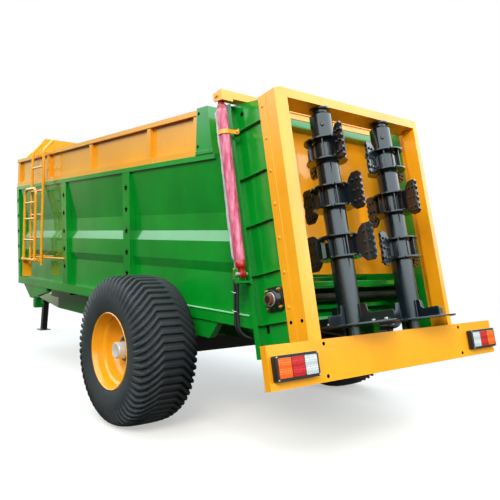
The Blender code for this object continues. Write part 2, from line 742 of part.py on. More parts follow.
def slat(x, z, angle):
    """One scraper bar across both chains."""
    flat = block((-SLAT_WIDTH / 2, SLAT_WIDTH / 2), (-CHAIN_Y - 0.05, CHAIN_Y + 0.05), (-0.004, SLAT_THICK - 0.004))
    return moved(flat, Matrix.Translation((x, 0, z)) @ Matrix.Rotation(angle, 4, "Y"))


CHAINS = [chain_loop(side * CHAIN_Y) for side in (-1, 1)]
node(
    "floor_conveyor",
    GREEN,
    [CHAINS[0][0], CHAINS[1][0]] + [slat(*place) for place in slat_places()],
    [CHAINS[0][1], CHAINS[1][1]],
)

# ---- Cross beams, beater frame and bumper -------------------------------------------------------

BEAM_DEPTH = (0.330, 0.400)
BEAM_H = (1.61, 1.67)
node(
    "rear_crossbeam",
    GREEN,
    [block(BEAM_DEPTH, (-PANEL_Y + GAP, PANEL_Y - GAP), BEAM_H)],
    parent=REAR,
)

APRON_H = (0.055, 0.155)
APRON_DEPTH = BEATER_DEPTH + DISC_R + 0.014
node(
    "rear_apron",
    GREEN,
    [block((APRON_DEPTH, APRON_DEPTH + BAR), (-PANEL_Y + GAP, PANEL_Y - GAP), APRON_H),
     block((APRON_DEPTH + 0.001, APRON_DEPTH + 0.04), (-PANEL_Y + GAP, PANEL_Y - GAP), (APRON_H[0], APRON_H[0] + BAR))],
    parent=REAR,
)


def beater_frame():
    """A welded portal of two box posts and two cross members, with bolting flanges."""
    bottom = BUMPER_H[0] + 0.01
    shapes = []
    for side in (-1, 1):
        outer, inner = side * FRAME_HALF, side * (FRAME_HALF - POST_FACE)
        y = sorted((outer, inner))
        skin = sorted((outer, outer - side * BAR))
        edge = [(0, FRAME_HALF - POST_CHAMFER), (POST_CHAMFER, FRAME_HALF), (POST_CHAMFER + BAR, FRAME_HALF),
                (POST_CHAMFER + BAR, FRAME_HALF - BAR), (BAR, FRAME_HALF - POST_CHAMFER - BAR),
                (0, FRAME_HALF - POST_CHAMFER - BAR)]
        shapes.append(prism([(depth, side * v) for depth, v in edge], bottom, FRAME_TOP, along_z))
        shapes.append(block((0, BAR), sorted((inner, side * (FRAME_HALF - POST_CHAMFER - BAR / 2))), (bottom, FRAME_TOP)))
        shapes.append(block((POST_CHAMFER + BAR / 2, POST_DEPTH + FLANGE_DEPTH), skin, (bottom, FRAME_TOP)))
        cap = [(0.001, side * (FRAME_HALF - POST_CHAMFER)), (POST_CHAMFER, side * (FRAME_HALF - 0.001)),
               (POST_DEPTH - 0.001, side * (FRAME_HALF - 0.001)), (POST_DEPTH - 0.001, inner + side * 0.001),
               (0.001, inner + side * 0.001)]
        shapes.append(prism(cap, FRAME_TOP - 0.008, FRAME_TOP - 0.001, along_z))
        shapes.append(block((0, POST_DEPTH), sorted((inner, inner + side * BAR)), (bottom, FRAME_TOP)))
        shapes.append(block((POST_DEPTH - BAR, POST_DEPTH), y, (bottom, FRAME_TOP)))
    span = FRAME_HALF - POST_CHAMFER - BAR
    shapes.append(block((0.001, POST_DEPTH + FLANGE_DEPTH - 0.03), (-span, span), (FRAME_TOP - BEAM_HEIGHT, FRAME_TOP - 0.001)))
    shapes.append(block((0.004, POST_DEPTH - 0.004), (-span, span), (bottom + 0.004, bottom + 0.10)))
    return shapes


node("beater_frame", YELLOW, beater_frame(), parent=REAR)


def bumper():
    low, high = BUMPER_H
    rear, front = -BUMPER_DEPTH, -GAP
    shapes = [block((rear, rear + BAR), (-BUMPER_HALF, BUMPER_HALF), (low, high))]
    for h in (low, high - BAR):
        shapes.append(block((rear, front), (-BUMPER_HALF, BUMPER_HALF), (h, h + BAR)))
    for side in (-1, 1):
        y = sorted((side * BUMPER_HALF, side * (BUMPER_HALF - BAR)))
        shapes.append(block((rear, front - 0.004), y, (low, high)))
    return shapes


node("bumper_board", YELLOW, bumper(), parent=REAR)

LAMP_Y = (0.875, 1.225)
LAMP_H = (-0.232, -0.082)


def lamp():
    rear = -BUMPER_DEPTH - GAP
    return [block((rear - 0.042, rear), LAMP_Y, LAMP_H)]


pair("tail_lamp", LAMP_PLASTIC, lamp(), parent=REAR)

# ---- Beaters -----------------------------------------------------------------------------------

MODULES = [                  # height of the lower and upper plate, angle of the first blade on each beater in degrees
    (0.526, 0.676, {1: 189, -1: 99}),
    (0.885, 1.037, {1: 180, -1: 171}),
    (1.235, 1.390, {1: 158, -1: 100}),
]
BLADES = 2


def blade(low, high, angle):
    """A flat plate on edge, from the tube out past the two round plates."""
    middle = (low + high) / 2
    half = BLADE_HEIGHT / 2
    outline = [
        (BEATER_TUBE_R - 0.01, middle - 0.055), (PLATE_R + 0.01, middle - 0.055), (PLATE_R + 0.04, middle - half),
        (BLADE_R - 0.03, middle - half), (BLADE_R, middle - half + 0.05), (BLADE_R, middle + half - 0.05),
        (BLADE_R - 0.03, middle + half), (PLATE_R + 0.04, middle + half), (PLATE_R + 0.01, middle + 0.055),
        (BEATER_TUBE_R - 0.01, middle + 0.055),
    ]
    return moved(prism(outline, -0.008, 0.008, along_y), Matrix.Rotation(math.radians(angle), 4, "Z"))


def rotor(sign):
    shapes = [bar((0, 0, DISC_H + PLATE_THICK + GAP), (0, 0, BEATER_TOP), BEATER_TUBE_R, 16)]
    for low, high, angles in MODULES:
        for h in (low, high):
            shapes.append(bar((0, 0, h - PLATE_THICK / 2), (0, 0, h + PLATE_THICK / 2), PLATE_R, 16))
        for k in range(BLADES):
            shapes.append(blade(low, high, angles[sign] + 360 * k / BLADES))
    shapes.append(bar((0, 0, BEATER_TOP - 0.02), (0, 0, BEARING_SEAT - GAP), STUB_R))
    return shapes


def disc(sign):
    """The spreading disc under a beater, with upright paddles round the tube's foot."""
    shapes = [
        bar((0, 0, DISC_H), (0, 0, DISC_H + PLATE_THICK), DISC_R, 32),
        bar((0, 0, DISC_H - STUB_DROP), (0, 0, DISC_H + 0.002), STUB_R),
    ]
    for k in range(4):
        outline = [(BEATER_TUBE_R + RUN, DISC_H + 0.004), (DISC_R - 0.01, DISC_H + 0.004),
                   (DISC_R - 0.01, PADDLE_LOW), (PADDLE_STEP + 0.02, PADDLE_LOW), (PADDLE_STEP, PADDLE_HIGH),
                   (BEATER_TUBE_R + RUN, PADDLE_HIGH + 0.01)]
        shapes.append(
            moved(prism(outline, -0.006, 0.006, along_y), Matrix.Rotation(math.radians(sign * (15 + 90 * k)), 4, "Z"))
        )
    return shapes


for side, sign in (("left", 1), ("right", -1)):
    pivot = empty(f"beater_{side}", REAR, (BEATER_DEPTH, sign * BEATER_Y, 0))
    node(f"beater_rotor_{side}", STEEL_BLUE, rotor(sign), parent=pivot)
    node(f"beater_disc_{side}", STEEL_BLUE, disc(sign), parent=pivot)


GEAR_TOWER_R = 0.055


def top_bearing():
    """The flanged bearing that hangs from the top beam and holds the tube's upper stub."""
    shapes = [
        bar((0, 0, BEARING_SEAT - 0.012), (0, 0, BEARING_SEAT), 0.075, 20),
        bar((0, 0, BEATER_TOP + RUN), (0, 0, BEARING_SEAT - 0.008), 0.055, 20),
    ]
    return shapes, [bar((0, 0, BEATER_TOP - 0.05), (0, 0, BEARING_SEAT + 0.05), STUB_R / math.cos(math.pi / 12) + FIT)]


for side, sign in (("left", 1), ("right", -1)):
    spot = empty(f"top_bearing_{side}_spot", REAR, (BEATER_DEPTH, sign * BEATER_Y, 0))
    node(f"top_bearing_{side}", BLACK, *top_bearing(), parent=spot)


def gearbox():
    """The beater drive: a housing on the lower cross member with a tower under each disc."""
    seat = BUMPER_H[0] + 0.11 + GAP
    shapes = [block((0.01, 0.13), (-0.50, 0.50), (seat, seat + 0.11))]
    for y in (-BEATER_Y, BEATER_Y):
        shapes.append(bar((BEATER_DEPTH, y, seat + 0.02), (BEATER_DEPTH, y, DISC_H - RUN), GEAR_TOWER_R, 20))
    shapes.append(bar((0.05, 0, seat + 0.055), (0.20, 0, seat + 0.055), 0.045, 16))
    bore = STUB_R / math.cos(math.pi / 12) + FIT
    cuts = [bar((BEATER_DEPTH, y, DISC_H - STUB_DROP - RUN), (BEATER_DEPTH, y, DISC_H + 0.05), bore)
            for y in (-BEATER_Y, BEATER_Y)]
    return shapes, cuts


node("beater_gearbox", STEEL_BLUE, *gearbox(), parent=REAR)

# The drive line runs level under the floor from the drawbar's head to the beater gearbox.
DRIVE_H = BUMPER_H[0] + 0.11 + 0.055
drive_rear = Vector((REAR_X + 0.20 * math.cos(LEAN) + DRIVE_H * math.sin(LEAN), 0,
                     REAR_Z - 0.20 * math.sin(LEAN) + DRIVE_H * math.cos(LEAN)))
DRIVE_Z = 0.775
DRIVE_R = 0.030
DRIVE_REAR_X = drive_rear.x + 0.06
DRIVE_FRONT_X = 4.05


def drive_bearing():
    """The plate bearing that carries the front of the drive line on the drawbar."""
    x = DRIVE_FRONT_X - 0.22
    return (
        [block((x, x + 0.05), (-0.36, 0.36), (DRAW_Z[1] + GAP, DRAW_Z[1] + 0.03)),
         block((x, x + 0.05), (-0.07, 0.07), (DRAW_Z[1] + 0.02, DRIVE_Z + 0.07))],
        [bar((x - 0.1, 0, DRIVE_Z), (x + 0.15, 0, DRIVE_Z), DRIVE_R + FIT, 20)],
    )


node("drive_bearing", BLACK, *drive_bearing())
node("drive_shaft", BLACK, [bar((DRIVE_REAR_X, 0, DRIVE_Z), (DRIVE_FRONT_X, 0, DRIVE_Z), DRIVE_R, 16),
                            bar((DRIVE_FRONT_X - 0.12, 0, DRIVE_Z), (DRIVE_FRONT_X - 0.02, 0, DRIVE_Z), 0.045, 16)])

# ---- Gate and cylinders ------------------------------------------------------------------------


def gate_panel():
    half = GATE_SHEET / 2
    shapes = [block((GATE_DEPTH - half, GATE_DEPTH + half), (-GATE_HALF, GATE_HALF), (GATE_BOTTOM, GATE_TOP))]
    for y in (-0.50, 0.0, 0.50):
        shapes.append(block((GATE_DEPTH, GATE_DEPTH + 0.03), (y - 0.03, y + 0.03), (GATE_BOTTOM + 0.01, GATE_TOP - 0.01)))
    shapes.append(block((GATE_DEPTH, GATE_DEPTH + 0.028), (-GATE_INNER, GATE_INNER), (GATE_BOTTOM, GATE_BOTTOM + 0.05)))
    return shapes


node("gate_panel", YELLOW, gate_panel(), parent=REAR)

BEAM_FOOT = GATE_TOP + GAP
BEAM_SOLE = panel_top(GATE_DEPTH + 0.045) + RUN   # clear of the panels' top edges
ARM_Y = CYLINDER_Y - 0.045


def gate_beam():
    """The cross beam on the gate's top edge, whose ends reach out over the cylinders."""
    shapes = [block((GATE_DEPTH - 0.03, GATE_DEPTH + 0.045), (-ARM_Y + 0.01, ARM_Y - 0.01), (BEAM_SOLE, CYLINDER_HEAD + 0.03))]
    shapes.append(block((GATE_DEPTH - 0.02, GATE_DEPTH + 0.03), (-GATE_INNER, GATE_INNER), (BEAM_FOOT, BEAM_SOLE + 0.02)))
    for side in (-1, 1):
        for y in (CYLINDER_Y - 0.035, CYLINDER_Y + 0.023):
            ear = sorted((side * y, side * (y + 0.012)))
            outline = [(GATE_DEPTH - 0.03, CYLINDER_HEAD - 0.05), (CYLINDER_DEPTH + 0.04, CYLINDER_HEAD - 0.03),
                       (CYLINDER_DEPTH + 0.04, CYLINDER_HEAD + 0.03), (GATE_DEPTH - 0.03, CYLINDER_HEAD + 0.03)]
            shapes.append(prism(outline, *ear, along_y))
        link = sorted((side * (ARM_Y - 0.02), side * (CYLINDER_Y + 0.035)))
        shapes.append(block((GATE_DEPTH - 0.035, GATE_DEPTH - 0.018), link, (CYLINDER_HEAD - 0.05, CYLINDER_HEAD + 0.03)))
        pin = [side * (CYLINDER_Y - 0.05), side * (CYLINDER_Y + 0.05)]
        shapes.append(bar((CYLINDER_DEPTH, pin[0], CYLINDER_HEAD), (CYLINDER_DEPTH, pin[1], CYLINDER_HEAD), PIN_R))
    return shapes


node("gate_beam", YELLOW, gate_beam(), parent=REAR)

BARREL_FOOT = CYLINDER_FOOT + 0.045
BARREL_TOP = CYLINDER_HEAD - 0.065
PORT_H = (BARREL_FOOT + 0.10, BARREL_FOOT + 0.03)
ROD_FOOT = BARREL_FOOT + 0.035
EYE_HALF = 0.020


def at_cylinder(mesh):
    return moved(mesh, Matrix.Translation((CYLINDER_DEPTH, CYLINDER_Y, 0)))


def barrel():
    """A tube with a gland at its top and an eye at its foot, open where the rod slides out."""
    wall = [(BARREL_R, BARREL_FOOT), (BARREL_R, BARREL_TOP), (ROD_R + FIT, BARREL_TOP),
            (ROD_R + FIT, BARREL_TOP - 0.03), (BORE_R, BARREL_TOP - 0.035), (BORE_R, ROD_FOOT - 0.02),
            (0.0, ROD_FOOT - 0.02), (0.0, BARREL_FOOT)]
    eye = bar((0, -EYE_HALF, CYLINDER_FOOT), (0, EYE_HALF, CYLINDER_FOOT), 0.028, 20)
    neck = block((-0.018, 0.018), (-EYE_HALF + 0.002, EYE_HALF - 0.002), (CYLINDER_FOOT + 0.01, BARREL_FOOT + 0.01))
    ports = [bar((BORE_R + 0.004, 0, h), (0.062, 0, h), 0.012, 8) for h in PORT_H]
    ports = [moved(p, Matrix.Rotation(math.radians(-20), 4, "Z")) for p in ports]
    hole = bar((0, -0.05, CYLINDER_FOOT), (0, 0.05, CYLINDER_FOOT), PIN_R + GAP)
    return [at_cylinder(m) for m in (turned(wall, "Z", 20), eye, neck, *ports)], [at_cylinder(hole)]


pair("cylinder_barrel", RED, *barrel(), parent=REAR)


def rod():
    eye = bar((0, -EYE_HALF, CYLINDER_HEAD), (0, EYE_HALF, CYLINDER_HEAD), 0.028, 20)
    piston = bar((0, 0, ROD_FOOT - 0.001), (0, 0, ROD_FOOT + 0.03), BORE_R - FIT, 20)
    shaft = bar((0, 0, ROD_FOOT), (0, 0, CYLINDER_HEAD - 0.015), ROD_R, 20)
    hole = bar((0, -0.05, CYLINDER_HEAD), (0, 0.05, CYLINDER_HEAD), PIN_R + FIT)
    return [at_cylinder(m) for m in (shaft, eye, piston)], [at_cylinder(hole)]


pair("cylinder_rod", CHROME, *rod(), parent=REAR)


def cylinder_bracket():
    """Two ears on a pad, welded to the channel, with the lower pin and the strap round the barrel."""
    x0 = PANEL_FRONT - CHANNEL_WIDTH
    pad = CHANNEL_Y + GAP
    shapes = [block((x0, PANEL_FRONT), (pad, pad + 0.010), (CYLINDER_FOOT - 0.07, CYLINDER_FOOT + 0.05))]
    for y in (CYLINDER_Y - EYE_HALF - RUN - 0.010, CYLINDER_Y + EYE_HALF + RUN):
        shapes.append(block((x0 + 0.004, PANEL_FRONT - 0.004), (y, y + 0.010), (CYLINDER_FOOT - 0.055, CYLINDER_FOOT + 0.035)))
    shapes.append(block((x0 + 0.004, PANEL_FRONT - 0.004), (pad + 0.002, CYLINDER_Y + EYE_HALF + RUN + 0.008),
                        (CYLINDER_FOOT - 0.060, CYLINDER_FOOT - 0.045)))
    shapes.append(bar((CYLINDER_DEPTH, CYLINDER_Y - 0.04, CYLINDER_FOOT),
                      (CYLINDER_DEPTH, CYLINDER_Y + 0.045, CYLINDER_FOOT), PIN_R))
    return shapes


pair("cylinder_bracket", GREEN, cylinder_bracket(), parent=REAR)

STRAP_H = 1.515


def cylinder_strap():
    """The yellow clamp that ties the barrel's upper end to the channel."""
    y0 = CHANNEL_Y + GAP
    shapes = [
        block((CYLINDER_DEPTH - 0.045, CYLINDER_DEPTH + 0.045), (y0, CYLINDER_Y + BARREL_R + 0.008), (STRAP_H - 0.02, STRAP_H + 0.02)),
    ]
    cuts = [bar((CYLINDER_DEPTH, CYLINDER_Y, STRAP_H - 0.05), (CYLINDER_DEPTH, CYLINDER_Y, STRAP_H + 0.05), BARREL_R * 1.03, 20)]
    return shapes, cuts


pair("cylinder_strap", YELLOW, *cylinder_strap(), parent=REAR)

# ---- Ladder ------------------------------------------------------------------------------------

TUBE_R = 0.0165
LADDER_Y = 0.975
UPPER_X = (2.66, 3.02)
LOWER_X = (2.70, 3.06)
FOLD_Y = 1.040
FOLD_Z = 1.19
UPPER_RUNGS = [1.45, 1.72, 2.00, 2.28]
LOWER_TOP = 2.02
LOWER_RUNGS = [1.42, 1.67, 1.86]


def ladder_upper():
    """Two tubes that bend inward over the board, with rungs and four stand-off brackets."""
    shapes = []
    for x in UPPER_X:
        route = [(x, LADDER_Y, FOLD_Z - 0.06), (x, LADDER_Y, 2.47), (x, LADDER_Y - 0.012, 2.51),
                 (x, LADDER_Y - 0.10, 2.62)]
        shapes.append(pipe(route, TUBE_R))
        for z, inner in ((EXTENSION_TOP - 0.02, EXT_Y), (1.235, wall_inner(1.255) + SHEET)):
            shapes.append(block((x - 0.012, x + 0.012), (inner + GAP, LADDER_Y), (z - 0.018, z + 0.018)))
    for z in UPPER_RUNGS:
        shapes.append(bar((UPPER_X[0], LADDER_Y, z), (UPPER_X[1], LADDER_Y, z), 0.012, 10))
    hinge = [(x, FOLD_Y, FOLD_Z) for x in (UPPER_X[0] - 0.03, LOWER_X[1] + 0.04)]
    shapes.append(bar(*hinge, 0.010, 12))
    for x in UPPER_X:
        shapes.append(block((x - 0.010, x + 0.010), (LADDER_Y, FOLD_Y + 0.012), (FOLD_Z - 0.018, FOLD_Z + 0.014)))
    return shapes


node("ladder_upper", YELLOW, ladder_upper())

FOLD = empty("ladder_fold", MACHINE, (0, FOLD_Y, FOLD_Z))


def ladder_lower():
    """A hairpin of tube with rungs, hung on the hinge bar and folded up."""
    x0, x1 = LOWER_X
    r = 0.07
    top = LOWER_TOP - FOLD_Z
    bend = [(x0 + r - r * math.cos(math.radians(a)), 0, top - r + r * math.sin(math.radians(a))) for a in (0, 30, 60, 90)]
    back = [(x0 + x1 - x, y, z) for x, y, z in reversed(bend)]
    shapes = [pipe([(x0, 0, 0.0), *bend, *back, (x1, 0, 0.0)], TUBE_R)]
    for z in LOWER_RUNGS:
        shapes.append(bar((x0, 0, z - FOLD_Z), (x1, 0, z - FOLD_Z), 0.012, 10))
    cuts = []
    for x in (x0, x1):
        shapes.append(bar((x - 0.02, 0, 0), (x + 0.02, 0, 0), 0.022, 16))
        cuts.append(bar((x - 0.03, 0, 0), (x + 0.03, 0, 0), 0.010 + FIT, 12))
    return shapes, cuts


node("ladder_lower", YELLOW, *ladder_lower(), parent=FOLD)

# ---- Hydraulic hoses ---------------------------------------------------------------------------

HOSE_R = 0.0095


def rear_point(depth, y, h):
    """A point of the leaning frame in the machine's own axes."""
    return Vector((REAR_X + depth * math.cos(LEAN) + h * math.sin(LEAN), y,
                   REAR_Z - depth * math.sin(LEAN) + h * math.cos(LEAN)))


def hose_pair():
    """Two hoses from the cylinder's ports down the wall, tied together by two clips."""
    shapes = []
    for k, h in enumerate(PORT_H):
        port = rear_point(CYLINDER_DEPTH + 0.062 * math.cos(math.radians(20)) + 0.012,
                          CYLINDER_Y - 0.068 * math.sin(math.radians(20)), h)
        shift = 0.020 * k
        down = port.x + 0.004 - 0.012 * k
        route = [port, port + Vector((0.02, 0, -0.03)), (down, 0.925, 1.20 - 0.03 * k), (down - 0.01, 0.925, 1.10),
                 (down - 0.02, 0.925, 0.95), (down - 0.04, 0.915, 0.83), (down - 0.09, 0.83, 0.775),
                 (down - 0.13 - shift, 0.66, 0.765), (down - 0.13 - shift, RAIL_Y + RAIL_WIDTH / 2 + GAP, 0.765)]
        shapes.append(pipe(smooth_route(route, 2), HOSE_R, 6))
    return shapes


def hose_clips():
    port = rear_point(CYLINDER_DEPTH + 0.062, CYLINDER_Y, BARREL_FOOT + 0.06)
    return [block((port.x - 0.055, port.x + 0.045), (0.916, 0.934), (z, z + 0.012)) for z in (0.96, 1.09)]


pair("hose_pair", HOSE_RUBBER, hose_pair() + hose_clips())

# ---- Origin: the middle of the footprint --------------------------------------------------------


def footprint_middle():
    """X of the middle, from the spreading discs' rear edge to the front of the tow eye."""
    rear = rear_point(BEATER_DEPTH, 0, DISC_H).x - math.cos(LEAN) * DISC_R
    return (rear + EYE_X + EYE_OUTER) / 2


MACHINE.location.x = -footprint_middle()
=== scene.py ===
"""Visual model of a towed manure spreader: green body, scraper floor, lifting gate and upright beaters.

Metres, +X towards the drawbar, +Y to the machine's left, +Z up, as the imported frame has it.
"""

import json
import math

import bmesh
import bpy
import numpy as np
from mathutils import Matrix, Vector


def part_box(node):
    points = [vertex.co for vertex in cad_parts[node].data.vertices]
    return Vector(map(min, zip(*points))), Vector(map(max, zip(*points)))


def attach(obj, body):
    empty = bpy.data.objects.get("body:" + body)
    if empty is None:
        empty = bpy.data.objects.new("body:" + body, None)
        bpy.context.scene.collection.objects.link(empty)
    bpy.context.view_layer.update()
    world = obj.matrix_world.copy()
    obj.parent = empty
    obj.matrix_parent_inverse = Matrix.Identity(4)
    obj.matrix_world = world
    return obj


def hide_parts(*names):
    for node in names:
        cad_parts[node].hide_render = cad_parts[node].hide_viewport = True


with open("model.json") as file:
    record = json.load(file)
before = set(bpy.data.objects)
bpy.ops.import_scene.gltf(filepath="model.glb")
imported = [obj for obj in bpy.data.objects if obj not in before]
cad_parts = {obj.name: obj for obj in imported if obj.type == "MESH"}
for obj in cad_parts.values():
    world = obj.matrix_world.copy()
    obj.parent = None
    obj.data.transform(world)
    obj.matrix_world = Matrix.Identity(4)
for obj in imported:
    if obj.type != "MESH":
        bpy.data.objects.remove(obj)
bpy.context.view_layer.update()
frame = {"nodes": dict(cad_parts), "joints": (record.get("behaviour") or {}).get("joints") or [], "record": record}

# ---- Studio ------------------------------------------------------------------------------------
# The machine stands on a pale floor that fades into a white surround, under one broad lamp behind the
# camera's left shoulder, one overhead and a weak one on the far side.

axle = (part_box("tyre_left")[0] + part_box("tyre_left")[1]) / 2
AXLE_X = axle.x


def linear(hex_code):
    """An sRGB hex colour as linear RGB with alpha 1."""
    values = np.array([int(hex_code[i:i + 2], 16) for i in (0, 2, 4)]) / 255
    values = np.where(values <= 0.04045, values / 12.92, ((values + 0.055) / 1.055) ** 2.4)
    return (*values.tolist(), 1.0)


def add(tree, kind, inputs=(), **settings):
    """One node: its settings as attributes, its inputs as {socket: value or output socket}."""
    made = tree.nodes.new(kind)
    for key, value in settings.items():
        setattr(made, key, value)
    for key, value in dict(inputs).items():
        if isinstance(value, bpy.types.NodeSocket):
            tree.links.new(value, made.inputs[key])
        else:
            made.inputs[key].default_value = value
    return made


def fresh(name):
    """A new material with an empty tree and its output node."""
    material = bpy.data.materials.new(name)
    material.use_nodes = True
    material.node_tree.nodes.clear()
    return material, material.node_tree, add(material.node_tree, "ShaderNodeOutputMaterial")


def set_camera():
    yaw, pitch, roll = math.radians(39.653), math.radians(-0.457), math.radians(1.633)
    forward = Vector((math.cos(yaw) * math.cos(pitch), -math.sin(yaw) * math.cos(pitch), math.sin(pitch)))
    right = Vector((-math.sin(yaw), -math.cos(yaw), 0))
    up = right.cross(forward)
    right, up = (math.cos(roll) * right + math.sin(roll) * up, math.cos(roll) * up - math.sin(roll) * right)
    data = bpy.data.cameras.new("camera")
    data.sensor_width = 36
    data.lens = 42.62
    camera = bpy.data.objects.new("camera", data)
    bpy.context.scene.collection.objects.link(camera)
    turn = Matrix((right, up, -forward)).transposed().to_4x4()
    camera.matrix_world = Matrix.Translation((AXLE_X - 4.1816, 3.4986, 1.4306)) @ turn
    bpy.context.scene.camera = camera


set_camera()
bpy.context.scene.view_settings.view_transform = "Standard"


def area_lamp(name, place, aim, size, power, colour="ffffff", mirrored=False):
    data = bpy.data.lights.new(name, "AREA")
    data.shape = "RECTANGLE"
    data.size, data.size_y = size
    data.energy = power
    data.color = linear(colour)[:3]
    lamp = bpy.data.objects.new(name, data)
    bpy.context.scene.collection.objects.link(lamp)
    lamp.location = place
    lamp.visible_glossy = mirrored
    lamp.rotation_euler = (Vector(aim) - Vector(place)).to_track_quat("-Z", "Y").to_euler()


area_lamp("key_lamp", (-9.0, 8.5, 8.0), (-1.5, 0, 1.2), (7, 5), 1500, "fff3e0")
area_lamp("top_lamp", (-0.5, 1.0, 9.5), (-0.5, 0, 1.0), (9, 6), 330)
area_lamp("far_lamp", (5.0, -9.0, 6.0), (0, 0, 1.0), (6, 4), 420, "f2f6ff")
area_lamp("rear_lamp", (-11.5, -3.5, 3.8), (-3.2, 0, 1.2), (4, 4), 520, "fff0dc")

world = bpy.data.worlds.new("surround")
bpy.context.scene.world = world
world.use_nodes = True
world.node_tree.nodes.clear()
sky = world.node_tree
ray = add(sky, "ShaderNodeLightPath")
way = add(sky, "ShaderNodeSeparateXYZ", {0: add(sky, "ShaderNodeTexCoord").outputs["Generated"]})
ahead = add(sky, "ShaderNodeMapRange", {0: way.outputs["X"], 1: 0.88, 2: 0.98, 3: 0.0, 4: 1.0},
    interpolation_type="SMOOTHSTEP")
climb = add(sky, "ShaderNodeMapRange", {0: way.outputs["Z"], 1: 0.12, 2: 0.32, 3: 0.0, 4: 1.0},
    interpolation_type="SMOOTHSTEP")
sink = add(sky, "ShaderNodeMapRange", {0: way.outputs["Z"], 1: 0.02, 2: -0.12, 3: 0.0, 4: 1.0},
    interpolation_type="SMOOTHSTEP")
skyline = add(sky, "ShaderNodeMix", {0: ahead.outputs[0], 6: (0.16, 0.27, 0.12, 1),
    7: (1.25, 1.40, 0.90, 1)}, data_type="RGBA")
ground = add(sky, "ShaderNodeMix", {0: ahead.outputs[0], 6: (0.08, 0.08, 0.07, 1),
    7: (0.30, 0.30, 0.25, 1)}, data_type="RGBA")
above = add(sky, "ShaderNodeMix", {0: climb.outputs[0], 6: skyline.outputs[2], 7: (2.6, 3.0, 3.1, 1)},
    data_type="RGBA")
dome = add(sky, "ShaderNodeMix", {0: sink.outputs[0], 6: above.outputs[2], 7: ground.outputs[2]},
    data_type="RGBA")
share = add(sky, "ShaderNodeMapRange", {0: ray.outputs["Is Glossy Ray"], 1: 0.0, 2: 1.0, 3: 0.40, 4: 1.0})
plain = add(sky, "ShaderNodeBackground", {"Color": dome.outputs[2], "Strength": share.outputs[0]})
white = add(sky, "ShaderNodeBackground", {"Color": (1, 1, 1, 1), "Strength": 1.0})
mixed = add(sky, "ShaderNodeMixShader", {0: ray.outputs["Is Camera Ray"], 1: plain.outputs[0],
    2: white.outputs[0]})
add(sky, "ShaderNodeOutputWorld", {"Surface": mixed.outputs[0]})


def pale_floor():
    """Matt white that turns to plain white light away from the machine, so that no horizon shows."""
    material, tree, output = fresh("pale_floor")
    matt = add(tree, "ShaderNodeBsdfDiffuse", {"Color": linear("f7f7f7")})
    glow = add(tree, "ShaderNodeEmission", {"Color": (1, 1, 1, 1), "Strength": 1.0})
    place = add(tree, "ShaderNodeTexCoord").outputs["Object"]
    stretched = add(tree, "ShaderNodeVectorMath", {0: place, 1: (0.21, 0.34, 0)}, operation="MULTIPLY")
    away = add(tree, "ShaderNodeVectorMath", {0: stretched.outputs[0]}, operation="LENGTH")
    fade = add(tree, "ShaderNodeMapRange", {0: away.outputs["Value"], 1: 0.55, 2: 1.25, 3: 0.42, 4: 1.0},
        interpolation_type="SMOOTHSTEP")
    seen = add(tree, "ShaderNodeLightPath").outputs["Is Camera Ray"]
    share = add(tree, "ShaderNodeMath", {0: fade.outputs[0], 1: seen}, operation="MULTIPLY")
    both = add(tree, "ShaderNodeMixShader", {0: share.outputs[0], 1: matt.outputs[0], 2: glow.outputs[0]})
    tree.links.new(both.outputs[0], output.inputs["Surface"])
    return material


floor_mesh = bpy.data.meshes.new("floor")
floor_mesh.from_pydata([(-60, -60, 0), (60, -60, 0), (60, 60, 0), (-60, 60, 0)], [], [(0, 1, 2, 3)])
floor_mesh.materials.append(pale_floor())
floor = bpy.data.objects.new("floor", floor_mesh)
bpy.context.scene.collection.objects.link(floor)
floor.visible_glossy = False
floor.visible_diffuse = False

# ---- Painted steel -----------------------------------------------------------------------------
# Every steel piece is sprayed with alkyd machine enamel: a glossy film over sheet and section steel,
# with slight orange peel, cloudier patches where it went on thin, and road dust low down.

DIELECTRIC_IOR = 1.5


